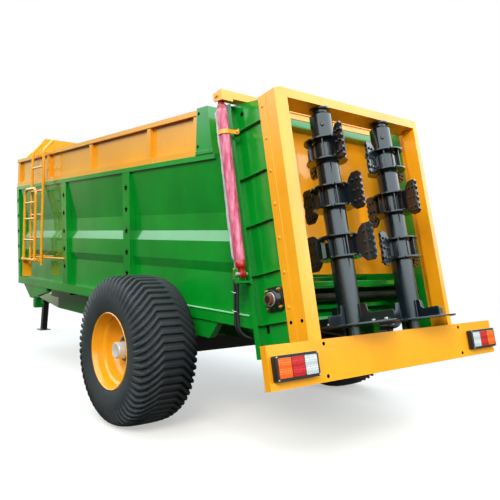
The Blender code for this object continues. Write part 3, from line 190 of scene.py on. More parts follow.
def enamel(name, colour, deep, dust="8a7a5c", roughness=0.18, dusty=0.04, peel_mm=9):
    """Sprayed enamel: gloss coat, patches about 0.5 m across, runs a hand wide, peel peel_mm across."""
    material, tree, output = fresh(name)
    place = add(tree, "ShaderNodeTexCoord").outputs["Object"]
    patches = add(tree, "ShaderNodeTexNoise", {"Vector": place, "Scale": 2.2, "Detail": 3.0,
        "Roughness": 0.55})
    share = add(tree, "ShaderNodeMapRange", {0: patches.outputs["Fac"], 1: 0.35, 2: 0.72, 3: 0.0, 4: 1.0})
    tone = add(tree, "ShaderNodeMix", {0: share.outputs[0], 6: linear(colour), 7: linear(deep)},
        data_type="RGBA")
    runs = add(tree, "ShaderNodeVectorMath", {0: place, 1: (9.0, 9.0, 1.3)}, operation="MULTIPLY")
    streaks = add(tree, "ShaderNodeTexNoise", {"Vector": runs.outputs[0], "Scale": 1.0, "Detail": 5.0,
        "Roughness": 0.7})
    height = add(tree, "ShaderNodeSeparateXYZ", {0: place})
    low = add(tree, "ShaderNodeMapRange", {0: height.outputs["Z"], 1: 1.5, 2: 0.4, 3: 0.15, 4: 1.0})
    grime = add(tree, "ShaderNodeMapRange", {0: streaks.outputs["Fac"], 1: 0.5, 2: 0.82, 3: 0.0, 4: dusty})
    film = add(tree, "ShaderNodeMath", {0: grime.outputs[0], 1: low.outputs[0]}, operation="MULTIPLY")
    worn = add(tree, "ShaderNodeMix", {0: film.outputs[0], 6: tone.outputs[2], 7: linear(dust)},
        data_type="RGBA")
    gloss = add(tree, "ShaderNodeMapRange", {0: streaks.outputs["Fac"], 1: 0.3, 2: 0.8, 3: roughness,
        4: roughness + 0.05})
    peel = add(tree, "ShaderNodeTexNoise", {"Vector": place, "Scale": 1000 / peel_mm, "Detail": 1.0})
    sheet = add(tree, "ShaderNodeTexNoise", {"Vector": place, "Scale": 3.2, "Detail": 1.5})
    bump = add(tree, "ShaderNodeBump", {"Height": sheet.outputs["Fac"], "Strength": 0.10, "Distance": 0.02})
    skin = add(tree, "ShaderNodeBump", {"Height": peel.outputs["Fac"], "Normal": bump.outputs[0],
        "Strength": 0.06, "Distance": 0.001})
    shader = add(tree, "ShaderNodeBsdfPrincipled", {
        "Base Color": worn.outputs[2], "Roughness": gloss.outputs[0], "IOR": DIELECTRIC_IOR,
        "Normal": skin.outputs[0], "Coat Weight": 0.6, "Coat Roughness": 0.05})
    tree.links.new(shader.outputs[0], output.inputs["Surface"])
    return material


green_enamel = enamel("green_machine_enamel", "06962a", "038024")
yellow_enamel = enamel("yellow_machine_enamel", "f4a91c", "eb9c12", dust="7d6a45", roughness=0.24)
dark_enamel = enamel("blue_grey_machine_enamel", "101a26", "0a1018", dust="3b3a36", roughness=0.20,
    dusty=0.05)
black_enamel = enamel("black_chassis_enamel", "101113", "090a0b", dust="4f483c", roughness=0.40, dusty=0.10)
red_enamel = enamel("red_cylinder_enamel", "b3121a", "8d0c13", roughness=0.28, dusty=0.1)


def bare_metal(name, colour, rust, rusty, roughness, metallic=1.0):
    """Turned steel with thin rust in cloudy spots a few centimetres across."""
    material, tree, output = fresh(name)
    place = add(tree, "ShaderNodeTexCoord").outputs["Object"]
    cloud = add(tree, "ShaderNodeTexNoise", {"Vector": place, "Scale": 28.0, "Detail": 6.0,
        "Roughness": 0.7})
    share = add(tree, "ShaderNodeMapRange", {0: cloud.outputs["Fac"], 1: 0.62 - rusty * 0.35,
        2: 0.74 - rusty * 0.3, 3: 0.0, 4: 1.0})
    tone = add(tree, "ShaderNodeMix", {0: share.outputs[0], 6: linear(colour), 7: linear(rust)},
        data_type="RGBA")
    metal = add(tree, "ShaderNodeMapRange", {0: share.outputs[0], 1: 0.0, 2: 1.0, 3: metallic, 4: 0.1})
    gloss = add(tree, "ShaderNodeMapRange", {0: share.outputs[0], 1: 0.0, 2: 1.0, 3: roughness, 4: 0.85})
    bump = add(tree, "ShaderNodeBump", {"Height": cloud.outputs["Fac"], "Strength": 0.25,
        "Distance": 0.001})
    shader = add(tree, "ShaderNodeBsdfPrincipled", {
        "Base Color": tone.outputs[2], "Metallic": metal.outputs[0], "Roughness": gloss.outputs[0],
        "Normal": bump.outputs[0]})
    tree.links.new(shader.outputs[0], output.inputs["Surface"])
    return material


zinc_steel = bare_metal("zinc_plated_steel", "c3c6c7", "8d7a5e", 0.1, 0.35, metallic=0.6)
rusty_steel = bare_metal("rusty_turned_steel", "8c8177", "6b4022", 0.9, 0.45)
hard_chrome = bare_metal("hard_chrome", "d9dadb", "a9a49b", 0.0, 0.08)

WEAR = {"green_enamel": green_enamel, "yellow_enamel": yellow_enamel, "dark_enamel": dark_enamel,
        "black_enamel": black_enamel, "red_enamel": red_enamel, "chromed_rod": hard_chrome,
        "bare_steel": rusty_steel}
for part in frame["record"]["subparts"]:
    cad_mesh = frame["nodes"][part["node"]].data
    if part["material_slot"] in WEAR:
        cad_mesh.materials.clear()
        cad_mesh.materials.append(WEAR[part["material_slot"]])
# The conveyor's shaft sits in deep shade inside the body, and that shade is painted into its steel: it is drawn
# almost black, with darker rust spots.
shaft_shade_steel = bare_metal("shaft_painted_shade_steel", "35332f", "231c15", 0.6, 0.4)
frame["nodes"]["conveyor_shaft"].data.materials[0] = shaft_shade_steel


# ---- Flotation tyres ---------------------------------------------------------------------------
# Wide implement tyres moulded in black rubber. The tread is a ring of bars, straight over the middle and
# swept back to both shoulders, where each runs out on the side wall in a curved point.


def grid(points, closed_u=False, closed_v=False):
    """Quads over an array of points (u, v, 3); closed_u and closed_v join the last row or column to the
    first."""
    u, v = points.shape[:2]
    i = np.arange(u if closed_u else u - 1)[:, None]
    j = np.arange(v if closed_v else v - 1)[None, :]
    down, right = (i + 1) % u, (j + 1) % v
    quads = np.stack(np.broadcast_arrays(i * v + j, down * v + j, down * v + right, i * v + right), -1)
    return points.reshape(-1, 3), quads.reshape(-1, 4)


def lathe(profile, steps=64, closed=False):
    """A profile of (radius, height) turned about Z: point = (r cos t, r sin t, h)."""
    r, h = np.array(profile, float).T
    t = np.linspace(0, 2 * np.pi, steps, endpoint=False)[:, None]
    return grid(np.stack(np.broadcast_arrays(r * np.cos(t), r * np.sin(t), h + 0 * t), -1), True, closed)


def placed(shape, matrix):
    """The same shape with its points through a matrix."""
    points, faces = shape
    m = np.array(matrix)
    return points @ m[:3, :3].T + m[:3, 3], faces


def piece(name, body, slot, material, *shapes, bevel=0.0, smooth=32):
    """One object from shapes of (points, faces), merged, turned outwards and riding on its body."""
    verts, faces, count = [], [], 0
    for points, quads in shapes:
        verts.append(np.asarray(points, float))
        faces += (quads + count).tolist() if isinstance(quads,
            np.ndarray) else [[k + count for k in f] for f in quads]
        count += len(points)
    mesh = bpy.data.meshes.new(name)
    mesh.from_pydata(np.concatenate(verts).tolist(), [], faces)
    bm = bmesh.new()
    bm.from_mesh(mesh)
    bmesh.ops.remove_doubles(bm, verts=bm.verts, dist=1e-6)
    bmesh.ops.dissolve_degenerate(bm, edges=bm.edges, dist=1e-7)
    bmesh.ops.recalc_face_normals(bm, faces=bm.faces)
    bm.to_mesh(mesh)
    bm.free()
    mesh.shade_smooth()
    mesh.set_sharp_from_angle(angle=math.radians(smooth))
    mesh.materials.append(material)
    made = bpy.data.objects.new(name, mesh)
    bpy.context.scene.collection.objects.link(made)
    if bevel:
        edge = made.modifiers.new("edge", "BEVEL")
        edge.width, edge.segments, edge.limit_method, edge.angle_limit = bevel, 2, "ANGLE", math.radians(40)
    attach(made, body)
    return made


def tyre_rubber():
    """Carbon-black rubber: matt, bluish black with brown dust in cloudy patches, rougher where dusty."""
    material, tree, output = fresh("moulded_tyre_rubber")
    place = add(tree, "ShaderNodeTexCoord").outputs["Object"]
    dust = add(tree, "ShaderNodeTexNoise", {"Vector": place, "Scale": 6.0, "Detail": 6.0,
        "Roughness": 0.65})
    share = add(tree, "ShaderNodeMapRange", {0: dust.outputs["Fac"], 1: 0.42, 2: 0.78, 3: 0.0, 4: 0.35})
    tone = add(tree, "ShaderNodeMix", {0: share.outputs[0], 6: linear("22262c"), 7: linear("443e39")},
        data_type="RGBA")
    grain = add(tree, "ShaderNodeTexNoise", {"Vector": place, "Scale": 120.0, "Detail": 3.0})
    bump = add(tree, "ShaderNodeBump", {"Height": grain.outputs["Fac"], "Strength": 0.35,
        "Distance": 0.0012})
    gloss = add(tree, "ShaderNodeMapRange", {0: dust.outputs["Fac"], 1: 0.3, 2: 0.8, 3: 0.52, 4: 0.85})
    shader = add(tree, "ShaderNodeBsdfPrincipled", {
        "Base Color": tone.outputs[2], "Roughness": gloss.outputs[0], "IOR": 1.52,
        "Normal": bump.outputs[0]})
    tree.links.new(shader.outputs[0], output.inputs["Surface"])
    return material


BARS = 60
GROOVE = 0.024               # tread depth
HALF_SECTION = [             # (radius, distance from the middle) from the crown to the bead
    (0.585, 0.0), (0.5845, 0.06), (0.582, 0.12), (0.573, 0.175), (0.556, 0.212), (0.528, 0.234),
    (0.490, 0.246),
    (0.440, 0.2495), (0.390, 0.249), (0.345, 0.243), (0.315, 0.236), (0.300, 0.231), (0.2985, 0.2195),
    (0.283, 0.206),
]


def tyre(side, sign):
    """Section arc (s) by angle (t). Grooves sink along the section's normal, where
    frac(bars * (t - sweep(s)) / 2 pi) is near 0 and the arc is still on the tread or shoulder."""
    r, a = np.array(HALF_SECTION).T
    arc = np.concatenate([[0], np.cumsum(np.hypot(np.diff(r), np.diff(a)))])
    s = np.linspace(0, arc[-1], 46)
    r, a = np.interp(s, arc, r), np.interp(s, arc, a)
    s, r, a = np.r_[-s[:0:-1], s], np.r_[r[:0:-1], r], np.r_[-a[:0:-1], a]
    out = np.stack([np.gradient(a), -np.gradient(r)], -1)
    out /= np.linalg.norm(out, axis=1, keepdims=True)
    t = np.linspace(0, 2 * np.pi, BARS * 12, endpoint=False)[:, None]
    sweep = np.interp(np.abs(s), [0.085, 0.14, 0.20, 0.26, 0.34], [0.0, 0.085, 0.170, 0.225, 0.250])
    phase = (BARS * (t - sweep) / (2 * np.pi)) % 1.0
    near = np.abs(phase - 0.5) * 2
    width = np.interp(np.abs(s), [0, 0.15, 0.26, 0.34], [0.60, 0.58, 0.52, 0.70])
    cut = 1 / (1 + np.exp(-(near - width) * 30))
    reach = np.interp(np.abs(s), [0, 0.24, 0.30, 0.36], [1.0, 0.95, 0.42, 0.0])
    sink = GROOVE * cut * reach
    radius = r - out[:, 0] * sink
    across = a - out[:, 1] * sink
    points = np.stack([radius * np.cos(t), across + 0 * t, radius * np.sin(t)], -1)
    centre = (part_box(f"tyre_{side}")[0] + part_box(f"tyre_{side}")[1]) / 2
    shape = grid(points + np.array(centre), True, True)
    made = piece(f"tread_tyre_{side}", f"wheel_{side}", "tyre_rubber", moulded_rubber, shape, smooth=50)
    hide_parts(f"tyre_{side}")


moulded_rubber = tyre_rubber()
tyre("left", 1)
tyre("right", -1)

# ---- Rims and hubs -----------------------------------------------------------------------------
# Pressed steel rims with a deep stepped dish, sprayed yellow, on black cast hubs. Zinc nuts hold the dish
# and a pressed aluminium cap closes the bearing.

aluminium = bare_metal("pressed_aluminium", "dfe3e5", "a9acae", 0.05, 0.35, metallic=0.35)
RIM = [
    (0.281, 0.205), (0.2983, 0.2187), (0.2983, 0.2300), (0.2930, 0.2335), (0.2870, 0.2300), (0.2770, 0.205),
    (0.2715, 0.190), (0.2695, 0.158), (0.2660, 0.147), (0.2560, 0.141), (0.2480, 0.136), (0.2445, 0.126),
    (0.2420, 0.090), (0.2370, 0.070), (0.2280, 0.060), (0.2180, 0.046), (0.1950, 0.040), (0.160, 0.0385),
    (0.100, 0.034), (0.071, 0.030),
    (0.071, 0.018), (0.165, 0.024), (0.245, 0.045), (0.256, -0.15), (0.268, -0.190), (0.287, -0.230),
    (0.2983, -0.230), (0.2983, -0.2187), (0.281, -0.205),
]
HUB = [
    (0.0, -0.12), (0.085, -0.12), (0.085, -0.05), (0.122, -0.045), (0.125, 0.014), (0.069, 0.0175),
    (0.069, 0.036),
    (0.108, 0.038), (0.112, 0.044), (0.112, 0.058), (0.104, 0.064), (0.096, 0.066), (0.094, 0.092),
    (0.088, 0.098),
    (0.064, 0.100), (0.0, 0.100),
]
CAP = [(0.0, 0.096), (0.066, 0.096), (0.0675, 0.104), (0.0655, 0.110), (0.0645, 0.162), (0.060, 0.1705),
    (0.050, 0.1725),
       (0.046, 0.1705), (0.0, 0.1695)]


def nut(width, height):
    """A hexagon nut or bolt head on Z = 0: two chamfered rings of six corners, closed in the middle."""
    t = np.arange(6)[:, None] * np.pi / 3
    r = width / math.sqrt(3) * np.array([0.0, 1.0, 1.0, 0.86, 0.0])
    h = height * np.array([0.0, 0.0, 0.82, 1.0, 1.0])
    return grid(np.stack(np.broadcast_arrays(r * np.cos(t), r * np.sin(t), h + 0 * t), -1), True)


def facing(place, normal, turn=0.0):
    """A matrix that puts Z along normal at a place."""
    return Matrix.Translation(place) @ Vector(normal).to_track_quat("Z",
        "Y").to_matrix().to_4x4() @ Matrix.Rotation(turn, 4, "Z")


for side, sign in (("left", 1), ("right", -1)):
    centre = (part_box(f"tyre_{side}")[0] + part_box(f"tyre_{side}")[1]) / 2
    wheel = facing(centre, (0, sign, 0))
    rim = piece(f"pressed_rim_{side}", f"wheel_{side}", "yellow_enamel", yellow_enamel,
        placed(lathe(RIM, 96, True), wheel))
    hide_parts(f"rim_{side}")
    hub = piece(f"cast_hub_{side}", f"wheel_{side}", "black_enamel", black_enamel,
        placed(lathe(HUB, 64), wheel))
    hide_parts(f"hub_{side}")
    piece(f"hub_cap_{side}", f"wheel_{side}", "chromed_rod", aluminium, placed(lathe(CAP, 64), wheel))
    nuts = [placed(nut(0.027, 0.020), wheel @ Matrix.Rotation(k * math.pi / 5, 4,
        "Z") @ Matrix.Translation((0.1375, 0, 0.0365)))
            for k in range(10)]
    studs = [placed(lathe([(0, 0), (0.009, 0), (0.009, 0.029), (0.0075, 0.031), (0, 0.031)], 12),
                    wheel @ Matrix.Rotation(k * math.pi / 5, 4,
                    "Z") @ Matrix.Translation((0.1375, 0, 0.0365)))
             for k in range(10)]
    piece(f"wheel_nuts_{side}", f"wheel_{side}", "chromed_rod", zinc_steel, *nuts, *studs)
    valve = wheel @ Matrix.Rotation(0.7, 4, "Z") @ Matrix.Translation((0.25, 0, 0.096))
    piece(f"tyre_valve_{side}", f"wheel_{side}", "chromed_rod", zinc_steel,
          placed(lathe([(0, 0), (0.007, 0), (0.007, 0.012), (0.0045, 0.016), (0.0045, 0.038), (0.0, 0.039)],
          12), valve))

# ---- Beaters -----------------------------------------------------------------------------------
# Two heavy tubes with pairs of notched ring plates welded on, upright strips between each pair, and
# flame-cut throwing blades whose toothed edges carry bolted wear plates. All sprayed dark blue-grey.

spin = next(j for j in frame["joints"] if j["name"] == "beater_left_spin")
UP = Vector(spin["axis"])
FORE = Vector((0, 1, 0)).cross(UP)
BEATER_DEPTH, BEATER_Y = 0.065, spin["pos_m"][1]
REAR = Matrix((FORE, (0, 1, 0), UP)).transposed().to_4x4()
REAR.translation = Vector(spin["pos_m"]) - FORE * BEATER_DEPTH - Vector((0, BEATER_Y, 0))
TUBE_R = 0.082
RING_R = 0.150
MODULES = [(0.526, 0.676, {1: 189, -1: 99}), (0.885, 1.037, {1: 180, -1: 171}),
    (1.235, 1.390, {1: 158, -1: 100})]


def slab(outline, thick):
    """A flat outline in X and Z, made thick evenly about Y = 0."""
    flat = np.array(outline, float)
    n = len(flat)
    points = np.concatenate([np.c_[flat[:, 0], np.full(n, -thick / 2), flat[:, 1]],
                             np.c_[flat[:, 0], np.full(n, thick / 2), flat[:, 1]]])
    k = np.arange(n)
    sides = np.stack([k, (k + 1) % n, (k + 1) % n + n, k + n], -1).tolist()
    return points, [k[::-1].tolist(), (k + n).tolist(), *sides]


def ring_plate(radius, notches, depth, thick):
    """A disc whose edge drops by depth in each of its square notches, laid in X and Y."""
    t = np.linspace(0, 2 * np.pi, 144, endpoint=False)
    notch = (t * notches / (2 * np.pi)) % 1 < 0.12
    r = np.where(notch, radius - depth, radius)
    points, faces = slab(np.c_[r * np.cos(t), r * np.sin(t)], thick)
    return points[:, [0, 2, 1]], faces


def blade_outline(low, high, tooth):
    """From the tube out between the ring plates, then a paddle with a toothed outer edge."""
    z = np.linspace(low, high, 13)
    teeth = np.where(np.arange(13) % 2, 0.284, 0.284 - tooth)
    inner = [(0.074, low + 0.075), (0.150, low + 0.070), (0.176, low + 0.028), (0.205, low)]
    edge = list(zip(np.r_[0.262, teeth[1:-1], 0.262], z))
    return [*inner, *edge, (0.205, high), (0.176, high - 0.028), (0.150, high - 0.070),
        (0.074, high - 0.075)]


for side, sign in (("left", 1), ("right", -1)):
    stand = REAR @ Matrix.Translation((BEATER_DEPTH, sign * BEATER_Y, 0))
    body = f"beater_{side}"
    barrel = lathe([(0, 0.0585), (TUBE_R, 0.0585), (TUBE_R, 1.585), (TUBE_R - 0.005, 1.59), (0.060, 1.592),
        (0.058, 1.60),
                  (0.028, 1.60), (0.028, 1.641), (0, 1.641)], 64)
    rings, strips, blades, wear, bolts = [], [], [], [], []
    for low, high, angles in MODULES:
        angle = angles[sign]
        for h in (low, high):
            rings.append(placed(ring_plate(RING_R, 6, 0.014, 0.012),
                stand @ Matrix.Translation((0, 0, h)) @ Matrix.Rotation(sign * (0.3 + h), 4, "Z")))
            collar = [(TUBE_R - 0.001, h - 0.012), (TUBE_R + 0.007, h - 0.006), (TUBE_R + 0.007, h + 0.006),
                (TUBE_R - 0.001, h + 0.012)]
            rings.append(placed(lathe(collar, 40, True), stand))
        for k in range(6):
            strip = [(0.100, low), (0.130, low), (0.130, high), (0.100, high)]
            strips.append(placed(slab(strip, 0.009), stand
                @ Matrix.Rotation(math.radians(angle + 28 + 60 * k), 4, "Z")))
        middle = (low + high) / 2
        for k in range(2):
            turn = stand @ Matrix.Rotation(math.radians(angle + 180 * k), 4,
                "Z") @ Matrix.Translation((0, 0, middle))
            blades.append(placed(slab(blade_outline(-0.131, 0.131, 0.013), 0.015), turn))
            face = [(0.185, -0.10), (0.250, -0.112), (0.272, -0.112), (0.279, -0.06), (0.268, -0.02),
                (0.279, 0.02), (0.268, 0.06),
                    (0.272, 0.112), (0.250, 0.112), (0.185, 0.10)]
            wear.append(placed(slab(face, 0.009), turn @ Matrix.Translation((0, sign * 0.012, 0))))
            for z in (-0.075, 0.0, 0.075):
                for x in (0.205, 0.245):
                    bolts.append(placed(nut(0.019, 0.009),
                        turn @ facing((x, sign * 0.016, z), (0, sign, 0))))
                    bolts.append(placed(nut(0.019, 0.011),
                        turn @ facing((x, -sign * 0.007, z), (0, -sign, 0))))
    head = facing((-0.058, 0.058, 1.50), (-1, 1, 0))
    bolts.append(placed(nut(0.030, 0.014), stand @ head))
    drum = piece(f"beater_drum_{side}", body, "dark_enamel", dark_enamel, placed(barrel, stand))
    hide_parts(f"beater_rotor_{side}")
    piece(f"beater_rings_{side}", body, "dark_enamel", dark_enamel, *rings, bevel=0.0015)
    piece(f"beater_strips_{side}", body, "dark_enamel", dark_enamel, *strips, bevel=0.0015)
    piece(f"throwing_blades_{side}", body, "dark_enamel", dark_enamel, *blades, bevel=0.002)
    piece(f"wear_plates_{side}", body, "dark_enamel", dark_enamel, *wear, bevel=0.0015)
    piece(f"blade_bolts_{side}", body, "dark_enamel", dark_enamel, *bolts)

# The spreading discs are plates with stepped paddles round the tube's foot, bolted through small feet.
DISC_R, DISC_H = 0.326, 0.046
for side, sign in (("left", 1), ("right", -1)):
    stand = REAR @ Matrix.Translation((BEATER_DEPTH, sign * BEATER_Y, 0))
    plate = lathe([(0, DISC_H - 0.04), (0.028, DISC_H - 0.04), (0.028, DISC_H), (DISC_R - 0.002, DISC_H),
        (DISC_R, DISC_H + 0.002),
                   (DISC_R, DISC_H + 0.010), (DISC_R - 0.002, DISC_H + 0.012), (0, DISC_H + 0.012)], 96)
    paddles, feet, bolts = [], [], []
    for k in range(4):
        turn = stand @ Matrix.Rotation(math.radians(sign * (15 + 90 * k)), 4, "Z")
        outline = [(0.090, 0.056), (0.318, 0.056), (0.320, 0.118), (0.312, 0.125), (0.160, 0.125),
            (0.138, 0.140), (0.130, 0.186),
                   (0.122, 0.194), (0.090, 0.194)]
        paddles.append(placed(slab(outline, 0.010), turn))
        foot = [(0.150, 0.057), (0.300, 0.057), (0.300, 0.065), (0.150, 0.065)]
        feet.append(placed(slab(foot, 0.050), turn @ Matrix.Translation((0, -sign * 0.024, 0))))
        bolts += [placed(nut(0.022, 0.011), turn @ Matrix.Translation((x, -sign * 0.030, 0.065)))
            for x in (0.18, 0.27)]
    made = piece(f"spreading_disc_{side}", f"beater_{side}", "dark_enamel", dark_enamel,
        placed(plate, stand))
    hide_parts(f"beater_disc_{side}")
    piece(f"disc_paddles_{side}", f"beater_{side}", "dark_enamel", dark_enamel, *paddles, *feet,
        bevel=0.0015)
    piece(f"disc_bolts_{side}", f"beater_{side}", "chromed_rod", zinc_steel, *bolts)

# ---- Beater frame and bumper board ---------------------------------------------------------------
# A welded portal of folded plate, sprayed yellow, whose flanges are bolted to the green rear panels with
# painted domed bolts. Spare holes low down stay open, and so do four in the bumper board.


def rubber_black():
    """Hose rubber: matt black with fine grain."""
    material, tree, output = fresh("matt_black_rubber")
    place = add(tree, "ShaderNodeTexCoord").outputs["Object"]
    grain = add(tree, "ShaderNodeTexNoise", {"Vector": place, "Scale": 90.0, "Detail": 3.0})
    tone = add(tree, "ShaderNodeMix", {0: grain.outputs["Fac"], 6: linear("08090a"), 7: linear("16181a")},
        data_type="RGBA")
    bump = add(tree, "ShaderNodeBump", {"Height": grain.outputs["Fac"], "Strength": 0.15,
        "Distance": 0.001})
    shader = add(tree, "ShaderNodeBsdfPrincipled", {"Base Color": tone.outputs[2], "Roughness": 0.55,
        "Normal": bump.outputs[0]})
    tree.links.new(shader.outputs[0], output.inputs["Surface"])
    return material


matt_black = rubber_black()
# What shows through an open hole is unlit, so these small discs have no sheen at all.
painted_hole_shade, hollow_tree, hollow_out = fresh("unlit_depth")
hollow_skin = add(hollow_tree, "ShaderNodeBsdfPrincipled",
    {"Base Color": linear("050607"), "Roughness": 1.0, "Specular IOR Level": 0.0})
hollow_tree.links.new(hollow_skin.outputs[0], hollow_out.inputs["Surface"])
FLANGE_Y = 0.8128            # middle of the bolting flange
POST_Y = 0.8101              # outer face of the post
DOME = [(0, 0), (0.012, 0), (0.012, 0.0015), (0.0095, 0.002), (0.0090, 0.005), (0.0065, 0.008),
    (0.0, 0.009)]
HOLE = [(0, 0), (0.0125, 0), (0.0125, 0.0008), (0, 0.0008)]


def on_rear(depth, y, h, normal):
    """The matrix of a fitting on the leaning rear end: Z along a normal in the rear end's own axes."""
    return REAR @ facing((depth, y, h), normal)


for side, sign in (("left", 1), ("right", -1)):
    rows = [on_rear(0.166, sign * (FLANGE_Y + 0.0028), -0.02 + 0.235 * k, (0, sign, 0)) for k in range(8)]
    heads = [placed(lathe(DOME, 20), spot) for spot in rows]
    piece(f"flange_bolts_{side}", "machine", "yellow_enamel", yellow_enamel, *heads)
    strip = [(0.128, -0.262), (0.203, -0.262), (0.203, 1.704), (0.128, 1.704)]
    piece(f"bolting_flange_{side}", "machine", "yellow_enamel", yellow_enamel,
          placed(slab(strip, 0.0055), REAR @ Matrix.Translation((0, sign * FLANGE_Y, 0))), bevel=0.0015)
    # Each open hole is drawn as a flat black disc: painted shade of the unlit depth behind it.
    spare = [placed(lathe(HOLE, 20), on_rear(x, sign * y, 0.115, (0, sign, 0)))
        for x, y in ((0.068, POST_Y), (0.166, FLANGE_Y + 0.0028))]
    spare += [placed(lathe(HOLE, 20), on_rear(-0.0551, sign * 0.77, h, (-1, 0, 0)))
        for h in (-0.045, -0.246)]
    piece(f"open_holes_{side}", "machine", "hose_rubber", painted_hole_shade, *spare)

# ---- Ribs and rear panels -------------------------------------------------------------------------
# The flat faces of the green ribs are laser cut with a row of star-shaped holes, and each rear panel has
# a round hole at the top and a drain slot low down.

PANEL_Y = 0.8062             # outer face of the rear panels, just proud of the sheet
STAR_Z = [1.140, 1.335, 1.532, 1.731, 1.930]
STAR_R = 0.036


def star(radius, waist=0.42):
    """Ten points, turn by turn at the radius and at the waist."""
    k = np.arange(10)
    r = np.where(k % 2 == 0, radius, radius * waist)
    return np.c_[r * np.sin(k * np.pi / 5), r * np.cos(k * np.pi / 5)]


for side, sign in (("left", 1), ("right", -1)):
    # Each star-shaped hole is a thin black slab: painted shade of the unlit depth behind it.
    stars = []
    for x in (0.78, 2.24, 3.75):
        for z in STAR_Z:
            y = 0.855 + 0.05 * (z - 0.94) / 1.13
            stars.append(placed(slab(star(STAR_R), 0.002),
                Matrix.Translation((AXLE_X + x, sign * y, z)) @ Matrix.Rotation(-sign * 0.044, 4, "X")))
    piece(f"star_holes_{side}", "machine", "hose_rubber", painted_hole_shade, *stars)
    t = np.linspace(0, 2 * np.pi, 24, endpoint=False)
    slot_outline = np.c_[0.013 * np.cos(t), 0.013 * np.sin(t) + 0.016 * np.sign(np.sin(t) + 1e-9)]
    round_outline = np.c_[0.016 * np.cos(t), 0.016 * np.sin(t)]
    # The round hole and the drain slot are thin black slabs: painted shade of the depth behind them.
    piece(f"panel_holes_{side}", "machine", "hose_rubber", painted_hole_shade,
          placed(slab(slot_outline, 0.002), REAR @ Matrix.Translation((0.410, sign * PANEL_Y, 0.095))),
          placed(slab(round_outline, 0.002), REAR @ Matrix.Translation((0.400, sign * PANEL_Y, 1.664))))

# The sill stands off the wall on a narrow ledge, bent at 45 degrees, that catches the sky.
for side, sign in (("left", 1), ("right", -1)):
    x = np.array([-1.010, 1.0]) + AXLE_X
    section = np.array([(0.8545, 0.927), (0.8615, 0.929), (0.8615, 0.935), (0.8545, 0.944)])
    runs = np.stack([np.c_[np.full(4, k), sign * section[:, 0], section[:, 1]] for k in np.linspace(*x, 9)])
    points, faces = grid(runs, False, True)
    ends = [[0, 1, 2, 3], [35, 34, 33, 32]]
    piece(f"sill_ledge_{side}", "machine", "green_enamel", green_enamel, (points, [*faces.tolist(), *ends]))

BOX_Y = 0.9092               # outer face of the end boxes

# The green end box of each extension board has a turned lip along its foot and two open bolt holes.
for side, sign in (("left", 1), ("right", -1)):
    lip = [(AXLE_X - 0.595, 2.113), (AXLE_X - 0.368, 2.113), (AXLE_X - 0.368, 2.142),
        (AXLE_X - 0.588, 2.142)]
    piece(f"end_box_lip_{side}", "machine", "green_enamel", green_enamel,
        placed(slab(lip, 0.007), Matrix.Translation((0, sign * (BOX_Y + 0.003), 0))), bevel=0.0015)
    # The two bolt holes are flat black discs: painted shade of the depth behind them.
    holes = [placed(lathe(HOLE, 20), facing((AXLE_X - 0.392, sign * BOX_Y, z), (0, sign, 0)))
        for z in (2.178, 2.432)]
    piece(f"end_box_holes_{side}", "machine", "hose_rubber", painted_hole_shade, *holes)

# ---- Conveyor shaft bearings ----------------------------------------------------------------------
# Square cast flange bearings on the rear panels, black, each held by four yellow-zinc bolts, with the
# rusty end of the conveyor's shaft showing in its collar.

yellow_zinc = bare_metal("yellow_zinc_plated_steel", "c9a65c", "8d6f45", 0.15, 0.34)
SHAFT = (0.295, 0.288)


def rounded_rectangle(x, z, width, height, radius, steps=6):
    """Outline of a rectangle about (x, z) with quarter circles at its corners."""
    t = np.linspace(0, np.pi / 2, steps)
    corners = [(1, 1, 0), (-1, 1, 1), (-1, -1, 2), (1, -1, 3)]
    return np.concatenate([np.c_[x + sx * (width / 2 - radius) + radius * np.cos(t + q * np.pi / 2),
                                 z + sz * (height / 2 - radius) + radius * np.sin(t + q * np.pi / 2)]
                                 for sx, sz, q in corners])


for side, sign in (("left", 1), ("right", -1)):
    face = sign * 0.8055
    flange = placed(slab(rounded_rectangle(SHAFT[0], SHAFT[1], 0.165, 0.165, 0.024), 0.014),
        REAR @ Matrix.Translation((0, face + sign * 0.0075, 0)))
    stand = on_rear(SHAFT[0], face, SHAFT[1], (0, sign, 0))
    boss = lathe([(0, 0.012), (0.072, 0.012), (0.070, 0.022), (0.066, 0.028), (0.064, 0.044),
        (0.060, 0.049), (0.052, 0.050), (0.050, 0.046), (0, 0.046)], 64)
    made = piece(f"flange_bearing_{side}", "machine", "black_enamel", black_enamel, flange,
        placed(boss, stand), bevel=0.0015)
    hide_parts(f"shaft_bearing_{side}")
    collar = lathe([(0, 0.044), (0.048, 0.044), (0.048, 0.054), (0.046, 0.056), (0.041, 0.056),
        (0.040, 0.050), (0, 0.050)], 48)
    piece(f"bearing_collar_{side}", "machine", "chromed_rod", zinc_steel, placed(collar, stand))
    piece(f"shaft_end_{side}", "machine", "bare_steel", rusty_steel,
          placed(lathe([(0, 0.040), (0.038, 0.040), (0.038, 0.074), (0.035, 0.077), (0.006, 0.077),
          (0.004, 0.073), (0, 0.073)], 48), stand))
    heads = []
    for x in (-0.060, 0.060):
        for z in (-0.060, 0.060):
            spot = stand @ Matrix.Translation((x, z, 0.0145))
            heads.append(placed(lathe([(0, 0), (0.015, 0), (0.015, 0.0025), (0, 0.0025)], 20), spot))
            heads.append(placed(nut(0.021, 0.013), spot @ Matrix.Translation((0, 0, 0.0025))))
            heads.append(placed(lathe([(0, 0), (0.0065, 0), (0.0065, 0.022), (0.005, 0.024), (0, 0.024)],
                14), spot))
    piece(f"bearing_bolts_{side}", "machine", "chromed_rod", yellow_zinc, *heads)

# ---- Gate cylinders -------------------------------------------------------------------------------
# Red hydraulic cylinders still in their packing film: rose-tinted plastic wound tightly round the barrel,
# whose loose white edge stands off towards the front. The steel end fittings stay bare of it.

CYLINDER = (0.45, 0.948)
WRAP_H = (0.575, 1.700)
STRAP_H = 1.515


